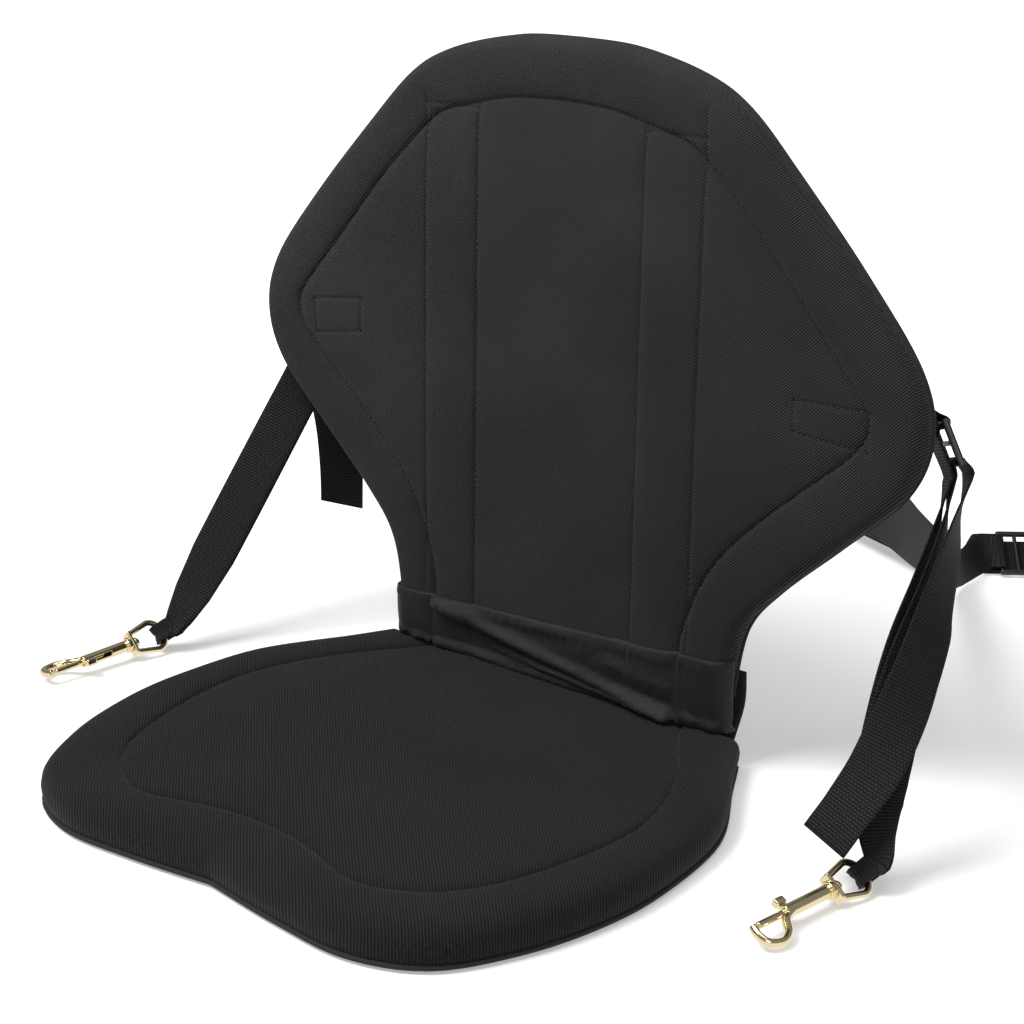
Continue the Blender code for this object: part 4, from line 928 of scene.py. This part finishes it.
def doubled_strap(name, lock, snap, fixed_end, waypoints, across_keys, tail, slant=0.0):
    """Down from its fixed end, round the snap's bow, up again, over the lock's grip bar and down as a tail."""
    bow_radius = EYE_WIRE_RADIUS * 1.16 + CLEARANCE + bunched_thick(WEB_BUNCHED) / 2
    under = BESIDE_LOCK - (WEB_THICK + WEB_STACK_GAP) / 2
    start = lock.grip_bar - lock.face * under + lock.run * LOCK_LOOP * 1.4
    axis = across_keys[-1]
    pull = (waypoints[-1] if waypoints else lock.grip_bar) - snap.bow_middle
    away = square_to(pull, axis)
    end = snap.bow_middle + away * bow_radius * 0.6
    near = snap.bow_middle + away * bow_radius * 2.6
    straight = waypoints or [start.lerp(near, share) for share in (0.25, 0.5, 0.75)]
    path = smooth_path([start] + straight + [near], 2)[:-1] + [near, near.lerp(end, 0.5), end]
    share = WEB_BUNCHED / EYE_WIDTH
    bow = snap.axis * EYE_BOW_DEPTH * (1 - math.sqrt(1 - share * share))
    plies = pair_stations(path, across_keys, snap.bow_middle, bow_radius, WEB_BUNCHED, bow, 0.0, 1.0, PLY_SLACK)[0]
    over = loop_stations(lock.grip_bar, lock.bars, lock.run, LOCK_LOOP, WEB_WIDTH, -1)
    leaving = lock.grip_bar + lock.run * LOCK_LOOP * 3 + lock.face * (LOCK_LOOP + WEB_THICK)
    return ribbon(name, fixed_end + plies + over + [Station(leaving, lock.bars)] + tail, slant)


SIDES = {1: "right", -1: "left"}


def stack_y(ply):
    return PANEL_REAR_Y - HINGE_Y + SEAT_GAP + WEB_THICK / 2 + ply * (WEB_THICK + WEB_STACK_GAP)


def tab_plies(side, lock):
    """The tab's stations from the wing to the lock's anchor bar and back, and those of the ply beside it."""
    y = stack_y(1.5) + 2 * TAB_LIFT
    path = [at_hinge(side * x, y, ANCHOR_Z) for x in (ANCHOR_INNER, (ANCHOR_INNER + ANCHOR_OUTER) / 2)]
    sewn_end = at_hinge(side * ANCHOR_OUTER, y, ANCHOR_Z)
    pull, leave, twist = TAB_SHAPE[side]
    away = square_to(Vector(pull), lock.bars)
    end = lock.anchor_bar + away * LOCK_LOOP * 0.7
    reach = (end - sewn_end).length
    path += bezier(sewn_end, sewn_end + Vector(leave) * reach, end + away * reach * 0.35, end, 8)
    upright = Vector((0.0, 0.0, 1.0)) if lock.bars.z > 0 else Vector((0.0, 0.0, -1.0))
    sewn = ANCHOR_OUTER - ANCHOR_INNER
    return pair_stations(path, [upright, lock.bars], lock.anchor_bar, LOCK_LOOP, WEB_WIDTH, None,
                         sewn / (sewn + reach), twist, TAB_SLACK)


def rear_anchor_strap(side, lock):
    y = stack_y(3.55)
    shift = -0.008 if side > 0 else -0.014
    sewn = ANCHOR_OUTER + shift
    rows = [
        (sewn - 0.025, y, ANCHOR_Z + 0.01, (0.94, 0.0, 0.35)),
        (sewn - 0.016, y, ANCHOR_Z - 0.012, (0.94, 0.0, 0.35)),
        (sewn - 0.008, y + 0.004, ANCHOR_Z - 0.035, (0.9, 0.1, 0.4)),
        (sewn - 0.008, 0.05, 0.186, (0.6, 0.2, 0.7)),
        (0.19 + shift / 2, 0.13, 0.14, (0.25, 0.3, 0.9)), (0.152, 0.235, 0.087, (0.2, 0.35, 0.9)),
        (0.116, 0.335, 0.04, (0.1, 0.3, 0.95)), (0.101, 0.38, 0.0215, (0.0, 0.2, 0.98)),
        (0.096, 0.405, 0.0175, (-0.1, 0.1, 0.99)),
    ]
    placed = [Station(at_hinge(side * x, b, z), (side * a[0], a[1], a[2])) for x, b, z, a in rows]
    stations = smooth_stations(placed, 2)
    axis = lock.bars if lock.bars.z > 0 else -lock.bars
    away = -lock.run
    loop = loop_stations(lock.anchor_bar, axis, away, LOCK_LOOP, WEB_WIDTH, -side)
    stations.append(Station(loop[0].point + away * WEB_WIDTH * 0.45, axis))
    stations.append(Station(loop[0].point + away * LOCK_LOOP * 0.7, axis))
    stub = [Station(loop[-1].point + away * reach, axis) for reach in (LOCK_LOOP * 0.7, WEB_WIDTH * 0.45)]
    return ribbon(f"rear_anchor_strap_{SIDES[side]}", stations + loop + stub)


def front_strap(side, lock, snap):
    if side > 0:
        fixed = tab_plies(side, lock)[1][:-2]
        fixed += [Station(lock.anchor_bar + lock.run * reach - lock.face * BESIDE_LOCK, lock.bars)
                  for reach in (LOCK_BAR * 0.7, LOCK_LENGTH * 0.4)]
        facing = Vector((0.782, 0.623, 0.0))
        keys = [lock.bars, (lock.bars + facing) * 0.7, facing, snap.eye_across]
        route = [(0.0425, 0.029, 0.206), (0.0449, 0.02, 0.189), (0.047, 0.011, 0.173),
                 (0.049, -0.001, 0.153), (0.051, -0.017, 0.129), (0.0555, -0.038, 0.099),
                 (0.0595, -0.056, 0.071), (0.063, -0.068, 0.047)]
        tail = [(0.052, 0.0275, 0.197, (-0.35, 0.84, -0.42)), (0.0555, 0.0145, 0.1765, (-0.05, 0.89, -0.46)),
                (0.0595, -0.005, 0.1525, (0.2, 0.87, -0.46)), (0.063, -0.018, 0.139, (0.42, 0.79, -0.45)),
                (0.065, -0.037, 0.117, (0.58, 0.7, -0.4)), (0.0645, -0.053, 0.095, (0.8, 0.5, -0.3)),
                (0.061, -0.071, 0.069, (0.95, 0.2, -0.15)), (0.0535, -0.089, 0.046, (0.98, 0.0, -0.05)),
                (0.047, -0.099, 0.03, (0.98, 0.0, -0.05))]
        slant = 0.0
    else:
        y = stack_y(0)
        fixed = [(-0.021, y, ANCHOR_Z + 0.021, (-0.8, 0.0, 0.6)),
                 (-0.01, y, ANCHOR_Z + 0.0063, (-0.8, 0.0, 0.6)),
                 (0.008, y, ANCHOR_Z - 0.018, (-0.8, 0.0, 0.6)),
                 (0.0155, 0.022, ANCHOR_Z - 0.0255, (-0.79, -0.25, 0.55))]
        fixed = stations_at(at_anchor, fixed, side)
        middle = snap.eye_across if snap.eye_across.dot(lock.bars) > 0 else -snap.eye_across
        keys = [lock.bars, lock.bars.lerp(middle, 0.5), middle]
        route = []
        tail = [(0.034, 0.036, 0.19, (-0.78, -0.42, 0.35)), (0.028, 0.042, 0.17, (-0.8, -0.5, 0.15)),
                (0.021, 0.042, 0.145, (-0.72, -0.68, 0.05)), (0.016, 0.04, 0.115, (-0.6, -0.78, 0.0)),
                (0.013, 0.037, 0.088, (-0.52, -0.85, 0.0))]
        slant = -0.004
    route = [at_anchor(side, *place) for place in route]
    return doubled_strap(f"front_strap_{SIDES[side]}", lock, snap, fixed, route, keys,
                         stations_at(at_anchor, tail, side), slant)


def rear_strap(side, lock, snap):
    sewn = lock.anchor_bar - lock.run * WEB_WIDTH * 0.45
    fixed = [Station(point - lock.face * BESIDE_LOCK, lock.bars)
             for point in (sewn, lock.anchor_bar, lock.middle)]
    axis = -snap.eye_across if snap.eye_across.dot(lock.bars) < 0 else snap.eye_across
    if side > 0:
        tail = [(0.134, 0.481, 0.028, (-0.5, 0.64, 0.5)), (0.147, 0.493, 0.038, (-0.5, 0.66, 0.46)),
                (0.16, 0.505, 0.043, (-0.52, 0.7, 0.38)), (0.172, 0.518, 0.042, (-0.55, 0.7, 0.3)),
                (0.182, 0.53, 0.036, (-0.55, 0.7, 0.25))]
    else:
        tail = [(-0.142, 0.489, 0.032, (-0.4, -0.7, -0.3)), (-0.147, 0.497, 0.046, (-0.35, -0.8, -0.15)),
                (-0.138, 0.497, 0.062, (-0.3, -0.85, 0.0)), (-0.118, 0.482, 0.062, (-0.3, -0.85, 0.1)),
                (-0.09, 0.464, 0.046, (-0.35, -0.8, 0.1)), (-0.055, 0.452, 0.022, (-0.45, -0.75, 0.2)),
                (-0.015, 0.442, 0.01, (-0.55, -0.7, 0.3)), (0.046, 0.416, 0.0095, (-0.55, -0.7, 0.3)),
                (0.072, 0.404, 0.0095, (-0.55, -0.7, 0.3))]
    return doubled_strap(f"rear_strap_{SIDES[side]}", lock, snap, fixed, [], [lock.bars, axis],
                         stations_at(at_hinge, tail))


for side, suffix in SIDES.items():
    front_lock, rear_lock = LOCKS[f"front_{suffix}"], LOCKS[f"rear_{suffix}"]
    ribbon(f"front_tab_{suffix}", tab_plies(side, front_lock)[0])
    anchor_strap = rear_anchor_strap(side, rear_lock)
    front_strap(side, front_lock, SNAPS[f"front_{suffix}"])
    rear_strap(side, rear_lock, SNAPS[f"rear_{suffix}"])
    middle = at_hinge(side * (ANCHOR_OUTER - (0.0295 if side > 0 else 0.0355)), 0.3, ANCHOR_Z - 0.001)
    ends = [middle + Vector((side * a * 0.0125 + side * b * 0.0045, 0.0, b * 0.0115 - a * 0.0045))
            for a, b in ((-1, 1), (1, 1), (1, -1), (-1, -1))]
    box = [[ends[k], ends[(k + 1) % 4]] for k in range(4)] + [[ends[0], ends[2]], [ends[1], ends[3]]]
    stitches(f"anchor_stitching_{suffix}", box, tree_of(anchor_strap), -FORWARD, pitch=0.0028)


# The hinge's satin, gathered into slanting folds

HINGE_WIDTH, HINGE_REACH, HINGE_CLOTH = 0.282, 0.008, 0.001
HINGE_CUT, BACKING_LENGTH, CROSS_SEAM = (0.285, 0.058), 0.066, 0.103
HINGE_HELD, END_START, END_TURN, SATIN_LIFT = 0.126, 0.1285, 0.0125, 0.0004


def ridge(value, middle, width):
    return math.exp(-((value - middle) / width) ** 2)


def fold_height(x, v):
    """How far the satin stands out: a low roll along the pad, ridges that run down to the right, a hollow."""
    s = x / HINGE_WIDTH + 0.5
    height = 0.0058 * ridge(v, 0.24, 0.15) * (0.75 + 0.25 * math.cos(5.0 * (s - 0.5)))
    upper = float(np.interp(s, (0.0, 0.12, 0.3, 0.5, 0.7, 0.87, 1.0),
                            (0.97, 0.92, 0.8, 0.62, 0.44, 0.27, 0.22)))
    lower = float(np.interp(s, (0.0, 0.3, 0.5, 0.7, 0.87, 1.0), (0.6, 0.52, 0.43, 0.34, 0.22, 0.2)))
    within = 1.0 if abs(x) < CROSS_SEAM else 0.0
    height += within * 0.0062 * ridge(v, upper, 0.085) * min(1.0, s * 6)
    height += within * 0.004 * ridge(v, lower, 0.045) * ridge(s, 0.58, 0.26)
    height += within * 0.0032 * ridge(v, (upper + 1.0) / 2, 0.14) * ridge(s, 0.72, 0.17)
    height -= 0.004 * ridge(s, 0.22, 0.12) * ridge(v, 0.58, 0.18)
    height += 0.0016 * ridge(v, 0.93, 0.05)
    beyond = abs(x) - CROSS_SEAM
    if beyond > 0:
        tuck = math.sin(beyond * 420.0 + 9.0 * v) * 0.0007 * ridge(v, 0.3, 0.3) - 0.001
        height += tuck * min(1.0, beyond / 0.006)
    height -= 0.003 * ridge(abs(x), CROSS_SEAM, 0.0022)
    hem = max(0.0, (v - 0.8) / 0.2)
    height += 0.0005 * hem * math.sin(2 * math.pi * x / 0.0075 + 2.0 * math.sin(x * 90.0))
    height += 0.0009 * noise.noise(Vector((x * 60.0 + v * 1.5, v * 9.0, 4.0)))
    height += 0.0005 * noise.noise(Vector((x * 190.0, v * 14.0, 8.0)))
    return height


def folded_sheet(name, columns, rows, width, path, rise, material, thick, replaced):
    """A cloth along a path of (y, z) given for each x, raised by a function of x and the share along it."""
    front, back, flat = [], [], []
    for r in range(rows + 1):
        v = r / rows
        for c in range(columns + 1):
            x = width * (c / columns - 0.5)
            point, slope = path(x, v)
            outward = Vector((0.0, -slope.z, slope.y)).normalized()
            inner = point + outward * rise(x, v)
            front.append(inner + outward * thick)
            back.append(inner)
            flat.append((x, v * 0.05))
    mesh = mesh_of(name, front + back, sheet_faces(rows + 1, columns + 1))
    with_uv(mesh, flat + flat)
    return add_piece(name, mesh, material, replaces=(replaced,))


def reach_of(tree, place, toward, fallback):
    hit = tree.ray_cast(place, toward)[0]
    return hit if hit is not None else fallback


def hinge_path(x, v):
    held = max(-HINGE_HELD, min(HINGE_HELD, x))
    low = Vector((x, HINGE_Y - HINGE_REACH, 0.0))
    low.z = reach_of(pad_tree, Vector((held, low.y, 1.0)), DOWN, Vector((0, 0, PAD_TOP))).z + SATIN_LIFT
    high = Vector((x, 0.0, BACK_BOTTOM + 0.024 + 0.055 * x))
    start = Vector((held, -1.0, high.z))
    high.y = reach_of(back_tree, start, FORWARD, Vector((0, BACK_FRONT_Y, 0))).y - SATIN_LIFT - HINGE_CLOTH
    corner = Vector((x, BACK_FRONT_Y - 0.003, PAD_TOP + 0.006))
    point = low * (1 - v) ** 2 + corner * 2 * v * (1 - v) + high * v * v
    turn = min(1.0, max(0.0, abs(x) - END_START) / END_TURN)
    point.y += END_TURN * (1 - math.sqrt(1 - turn * turn))
    return point, (corner - low) * (1 - v) + (high - corner) * v


def hinge_rise(x, v):
    fade = min(1.0, v / 0.05) * min(1.0, (1.0 - v) / 0.03 + 0.25)
    return max(0.0, fold_height(x, v)) * fade


BACKING = [Vector((0.0, HINGE_Y + SEAT_GAP, 0.0006)), Vector((0.0, HINGE_Y + SEAT_GAP, PAD_TOP * 0.6)),
           Vector((0.0, PANEL_REAR_Y + SEAT_GAP, BACK_BOTTOM * 0.9)),
           Vector((0.0, PANEL_REAR_Y + SEAT_GAP, BACK_BOTTOM + 0.018))]
BACKING = smooth_path(BACKING, 8)


def backing_path(x, v):
    place = v * (len(BACKING) - 1)
    whole = min(int(place), len(BACKING) - 2)
    point = BACKING[whole].lerp(BACKING[whole + 1], place - whole)
    return Vector((x, point.y, point.z)), BACKING[whole] - BACKING[whole + 1]


def backing_rise(x, v):
    folds = noise.noise(Vector((x * 30.0, v * 3.0, 21.0))) + 0.5 * math.sin(x * 210.0 + 4.0 * v)
    return 0.0004 + 0.0011 * max(0.0, folds) * math.sin(math.pi * v)


hinge = folded_sheet("hinge_satin", 168, 34, HINGE_WIDTH, hinge_path, hinge_rise, SATIN, HINGE_CLOTH,
                     "hinge_cloth")
backing = folded_sheet("hinge_rear_strip", 90, 20, HINGE_WIDTH, backing_path, backing_rise, PANEL_CLOTH, CLOTH,
                       "hinge_backing")


# Snaps: cast and polished, with softened edges

def turned(profile, segments=40):
    """Points and faces of a shape turned about X, from (x, radius) pairs that start and end on the axis."""
    points, faces, rings = [], [], []
    for x, radius in profile:
        count = segments if radius else 1
        rings.append(list(range(len(points), len(points) + count)))
        for k in range(count):
            angle = 2 * math.pi * k / segments
            points.append(Vector((x, radius * math.cos(angle), radius * math.sin(angle))))
    for low, high in zip(rings, rings[1:]):
        for k in range(segments):
            after = (k + 1) % segments
            corners = [low[k % len(low)], low[after % len(low)], high[after % len(high)], high[k % len(high)]]
            faces.append(tuple(dict.fromkeys(corners)))
    return points, faces


def cylinder(name, start, end, radius):
    return mesh_of(name, *turned([(start, 0.0), (start, radius), (end, radius), (end, 0.0)]))


def swept(path, half_thick, half_wide, sides=20):
    """A rounded bar along a path in the XY plane, with its thickness in that plane and its width along Z."""
    points, faces = [], []
    last = len(path) - 1
    for index, middle in enumerate(path):
        tangent = tangent_at(path, index)
        inward = Vector((-tangent.y, tangent.x, 0.0))
        for k in range(sides):
            angle = 2 * math.pi * (k + 0.5) / sides
            points.append(middle + inward * half_thick[index] * math.cos(angle)
                          + Vector((0.0, 0.0, half_wide[index] * math.sin(angle))))
    for ring in range(last):
        faces += ring_faces(ring * sides, (ring + 1) * sides, sides)
    faces += [tuple(range(sides)), tuple(last * sides + k for k in range(sides))]
    return points, faces


def block_mesh(low, high, bevel=0.0):
    mesh = bpy.data.meshes.new("block")
    bm = bmesh.new()
    bmesh.ops.create_cube(bm, size=1.0)
    size, middle = Vector(high) - Vector(low), (Vector(high) + Vector(low)) / 2
    for vert in bm.verts:
        vert.co = Vector((vert.co.x * size.x, vert.co.y * size.y, vert.co.z * size.z)) + middle
    if bevel:
        bmesh.ops.bevel(bm, geom=bm.edges[:], offset=bevel, segments=3, profile=0.5, affect="EDGES")
    bmesh.ops.recalc_face_normals(bm, faces=bm.faces)
    bm.to_mesh(mesh)
    bm.free()
    return mesh


def cast(base, steps, voxel=0.0004):
    """Shapes joined and cut, then softened along every edge as a polished casting is."""
    host = new_object("host", base)
    tools = [new_object("tool", mesh) for _, mesh in steps]
    for (operation, _), tool in zip(steps, tools):
        modifier = host.modifiers.new(operation, "BOOLEAN")
        modifier.operation, modifier.solver, modifier.object = operation, "EXACT", tool
    remesh = host.modifiers.new("remesh", "REMESH")
    remesh.mode, remesh.voxel_size = "VOXEL", voxel
    soften = host.modifiers.new("soften", "SMOOTH")
    soften.factor, soften.iterations = 0.5, 2
    bpy.context.view_layer.update()
    result = bpy.data.meshes.new_from_object(host.evaluated_get(bpy.context.evaluated_depsgraph_get()))
    for helper in tools + [host]:
        bpy.data.objects.remove(helper, do_unlink=True)
    result.materials.clear()
    return result


def eye_casting():
    plate = block_mesh((-PLATE_THICK, -PLATE_WIDTH / 2, -PLATE_HEIGHT / 2), (0.0, PLATE_WIDTH / 2, PLATE_HEIGHT / 2),
                       PLATE_THICK / 3)
    side, bow_start, turns = EYE_WIDTH / 2, EYE_BOW_DEPTH - EYE_LENGTH, 28
    path = [Vector((-PLATE_THICK / 2, PLATE_WIDTH / 2 - EYE_WIRE_RADIUS, 0.0))]
    for k in range(turns + 1):
        angle = math.pi * k / turns
        path.append(Vector((bow_start - EYE_BOW_DEPTH * math.sin(angle), side * math.cos(angle), 0.0)))
    path.append(Vector((-PLATE_THICK / 2, EYE_WIRE_RADIUS - PLATE_WIDTH / 2, 0.0)))
    bow = mesh_of("bow", *swept(path, [EYE_WIRE_RADIUS] * len(path), [EYE_WIRE_RADIUS] * len(path)))
    hole = cylinder("hole", -2 * PLATE_THICK, PLATE_THICK, STEM_RADIUS + SWIVEL_PLAY)
    return cast(plate, [("UNION", bow), ("DIFFERENCE", hole)])


def body_casting():
    plate = PLATE_THICK + SWIVEL_PLAY
    collar = SWIVEL_PLAY + COLLAR_THICK
    profile = [
        (-plate - STEM_HEAD_LENGTH, 0.0), (-plate - STEM_HEAD_LENGTH, STEM_HEAD_RADIUS * 0.6),
        (-plate - STEM_HEAD_LENGTH * 0.5, STEM_HEAD_RADIUS), (-plate, STEM_HEAD_RADIUS), (-plate, STEM_RADIUS),
        (SWIVEL_PLAY, STEM_RADIUS), (SWIVEL_PLAY, COLLAR_RADIUS), (collar, COLLAR_RADIUS),
        (collar, BARREL_RADIUS * 0.86), (collar + COLLAR_THICK * 0.4, BARREL_RADIUS * 0.86),
        (collar + COLLAR_THICK * 0.7, BARREL_RADIUS), (BARREL_LENGTH, BARREL_RADIUS), (BARREL_LENGTH, 0.0),
    ]
    end = BARREL_LENGTH + GATE
    points = [
        (BARREL_LENGTH - BARREL_RADIUS * 1.4, BARREL_RADIUS * 0.35),
        (BARREL_LENGTH + BARREL_RADIUS * 0.6, BARREL_RADIUS * 1.05),
        (BARREL_LENGTH + GATE * 0.36, HOOK_DEPTH * 0.78),
        (BARREL_LENGTH + GATE * 0.7, HOOK_DEPTH),
        (end + HOOK_THICK * 0.35, HOOK_DEPTH * 0.82),
        (end + HOOK_THICK * 0.8, HOOK_DEPTH * 0.4),
        (end + BOLT_PLAY + HOOK_THICK / 2, -BOLT_RADIUS * 0.5),
    ]
    path = smooth_path([Vector((x, y, 0.0)) for x, y in points], 8)
    last = len(path) - 1
    thick = [HOOK_THICK / 2 * (1.0 - 0.12 * k / last) for k in range(last + 1)]
    wide = [HOOK_WIDTH / 2 * (1.1 - 0.25 * k / last) for k in range(last + 1)]
    hook = mesh_of("hook", *swept(path, thick, wide))
    bore_start, bore_end = BARREL_LENGTH - BOLT_TAIL - BOLT_TRAVEL - BOLT_PLAY, BARREL_LENGTH + BARREL_RADIUS * 2
    bore = cylinder("bore", bore_start, bore_end, BOLT_RADIUS + BOLT_PLAY)
    half_slot = KNOB_NECK / 2 + SLOT_PLAY
    slot = block_mesh((BARREL_LENGTH - KNOB_LENGTH - BOLT_TRAVEL, -2 * BARREL_RADIUS, -half_slot),
                      (bore_end, 0.0, half_slot))
    return cast(mesh_of("body", *turned(profile)), [("UNION", hook), ("DIFFERENCE", bore), ("DIFFERENCE", slot)])


def bolt_casting():
    start, end = BARREL_LENGTH - BOLT_TAIL, BARREL_LENGTH + GATE
    rounding = BOLT_RADIUS * 0.3
    rod = mesh_of("rod", *turned([(start, 0.0), (start, BOLT_RADIUS), (end - rounding, BOLT_RADIUS),
                                  (end, BOLT_RADIUS - rounding), (end, 0.0)]))
    knob_end = BARREL_LENGTH + KNOB_LENGTH * 0.15
    knob_start = knob_end - KNOB_LENGTH
    seat = BARREL_RADIUS + SLOT_PLAY
    neck = block_mesh((knob_start + KNOB_LENGTH * 0.15, -seat - KNOB_HEIGHT / 2, -KNOB_NECK / 2),
                      (knob_end - KNOB_LENGTH * 0.15, 0.0, KNOB_NECK / 2))
    cap = block_mesh((knob_start, -seat - KNOB_HEIGHT, -KNOB_WIDTH / 2), (knob_end, -seat, KNOB_WIDTH / 2),
                     KNOB_HEIGHT / 4)
    return cast(rod, [("UNION", neck), ("UNION", cap)], 0.00035)


eye_mesh, body_mesh, bolt_mesh = eye_casting(), body_casting(), bolt_casting()
for where, snap in SNAPS.items():
    kinds = (("eye", eye_mesh, snap.eye_across, "seat"), ("body", body_mesh, snap.hook_out, f"snap_{where}"),
             ("bolt", bolt_mesh, snap.hook_out, f"bolt_{where}"))
    for kind, mesh, out, body in kinds:
        placed = mesh.copy()
        placed.transform(snap.matrix(out))
        add_piece(f"brass_{kind}_{where}", placed, BRASS, body, replaces=(f"snap_{kind}_{where}",))


# Camera, as fitted to the photograph

PICTURE, FOCAL_PIXELS, SENSOR = 1024.0, 2180.3268, 36.0
azimuth, elevation, roll = 0.6735224, 0.3290424, 0.014
forward = Vector((-math.sin(azimuth) * math.cos(elevation), math.cos(azimuth) * math.cos(elevation),
                  -math.sin(elevation)))
rightward = Vector((math.cos(azimuth), math.sin(azimuth), 0.0))
upward = rightward.cross(forward)
rightward, upward = (rightward * math.cos(roll) + upward * math.sin(roll),
                     upward * math.cos(roll) - rightward * math.sin(roll))
camera = new_object("camera", bpy.data.cameras.new("camera"))
camera.data.sensor_width = SENSOR
camera.data.lens = FOCAL_PIXELS / PICTURE * SENSOR
camera.data.clip_end = 60.0
placing = Matrix((rightward, upward, -forward)).transposed().to_4x4()
stand = Vector((0.8293415, -1.0925241 + HINGE_Y, 0.6120079))
camera.matrix_world = Matrix.Translation(stand) @ placing
bpy.context.scene.camera = camera


# Floor, lamps and world

def floor_material():
    """Plain pale floor. The camera sees its shade lifted to white, so that only the object's shadow shows."""
    material = bpy.data.materials.new("floor")
    material.use_nodes = True
    tree = material.node_tree
    tree.nodes.clear()
    ray = node_in(tree, "ShaderNodeLightPath").outputs
    plain = node_in(tree, "ShaderNodeBsdfDiffuse", Color=(0.72, 0.72, 0.72, 1.0))
    shade = node_in(tree, "ShaderNodeBsdfDiffuse", Color=(0.8, 0.8, 0.8, 1.0))
    far = node_in(tree, "ShaderNodeVectorMath", i0=node_in(tree, "ShaderNodeNewGeometry").outputs["Position"])
    far.operation = "LENGTH"
    rise = node_in(tree, "ShaderNodeMapRange", Value=far.outputs["Value"], From_Min=0.45, From_Max=1.05, To_Min=0.32,
                   To_Max=1.0)
    rise.interpolation_type = "SMOOTHSTEP"
    lift = node_in(tree, "ShaderNodeEmission", Color=WHITE, Strength=rise.outputs["Result"])
    white = node_in(tree, "ShaderNodeEmission", Strength=1.0)
    seen = node_in(tree, "ShaderNodeAddShader", i0=shade.outputs[0], i1=lift.outputs[0])
    by_camera = node_in(tree, "ShaderNodeMixShader", i0=ray["Is Camera Ray"], i1=plain.outputs[0], i2=seen.outputs[0])
    by_gloss = node_in(tree, "ShaderNodeMixShader", i0=ray["Is Glossy Ray"], i1=by_camera.outputs[0],
                       i2=white.outputs[0])
    node_in(tree, "ShaderNodeOutputMaterial", i0=by_gloss.outputs[0])
    return material


FLOOR_REACH, FLOOR_Z = 16, -0.0004
floor_mesh = bpy.data.meshes.new("floor")
floor_mesh.from_pydata([(x * FLOOR_REACH, y * FLOOR_REACH, FLOOR_Z) for x, y in ((-1, -1), (1, -1), (1, 1), (-1, 1))],
                       [], [(0, 1, 2, 3)])
floor_mesh.materials.append(floor_material())
new_object("floor", floor_mesh)


def lamp(name, place, target, size, watts):
    data = bpy.data.lights.new(name, "AREA")
    data.shape = "SQUARE"
    data.size = size
    data.energy = watts
    light = new_object(name, data)
    light.location = place
    light.rotation_euler = (Vector(target) - Vector(place)).to_track_quat("-Z", "Y").to_euler()


SEAT_MIDDLE, ROOM_LIGHT = (0.0, 0.1, 0.2), 0.24
lamp("key", (-0.9, -1.5, 3.0), SEAT_MIDDLE, 1.5, 112)
lamp("fill", (2.4, -2.2, 1.6), SEAT_MIDDLE, 2.0, 24)
lamp("top", (0.5, -0.3, 3.0), (0.0, 0.1, 0.1), 1.6, 20)

world = bpy.data.worlds.new("studio")
bpy.context.scene.world = world
world.use_nodes = True
sky = world.node_tree
sky.nodes.clear()
ray = node_in(sky, "ShaderNodeLightPath").outputs
soft = node_in(sky, "ShaderNodeBackground", Color=WHITE, Strength=ROOM_LIGHT)
clear = node_in(sky, "ShaderNodeBackground", Color=WHITE, Strength=1.0)
choose = node_in(sky, "ShaderNodeMixShader", i0=ray["Is Camera Ray"], i1=soft.outputs[0], i2=clear.outputs[0])
node_in(sky, "ShaderNodeOutputWorld", i0=choose.outputs[0])
bpy.context.scene.view_settings.view_transform = "Standard"


# Finishes of the solids that stay

for lock_name in (f"ladder_lock_{where}" for where in LOCKS):
    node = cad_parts[lock_name]
    node.data.materials.clear()
    node.data.materials.append(PLASTIC)
    softened = node.modifiers.new("edges", "BEVEL")
    softened.width = 0.00035
    softened.segments = 2
    softened.limit_method = "ANGLE"
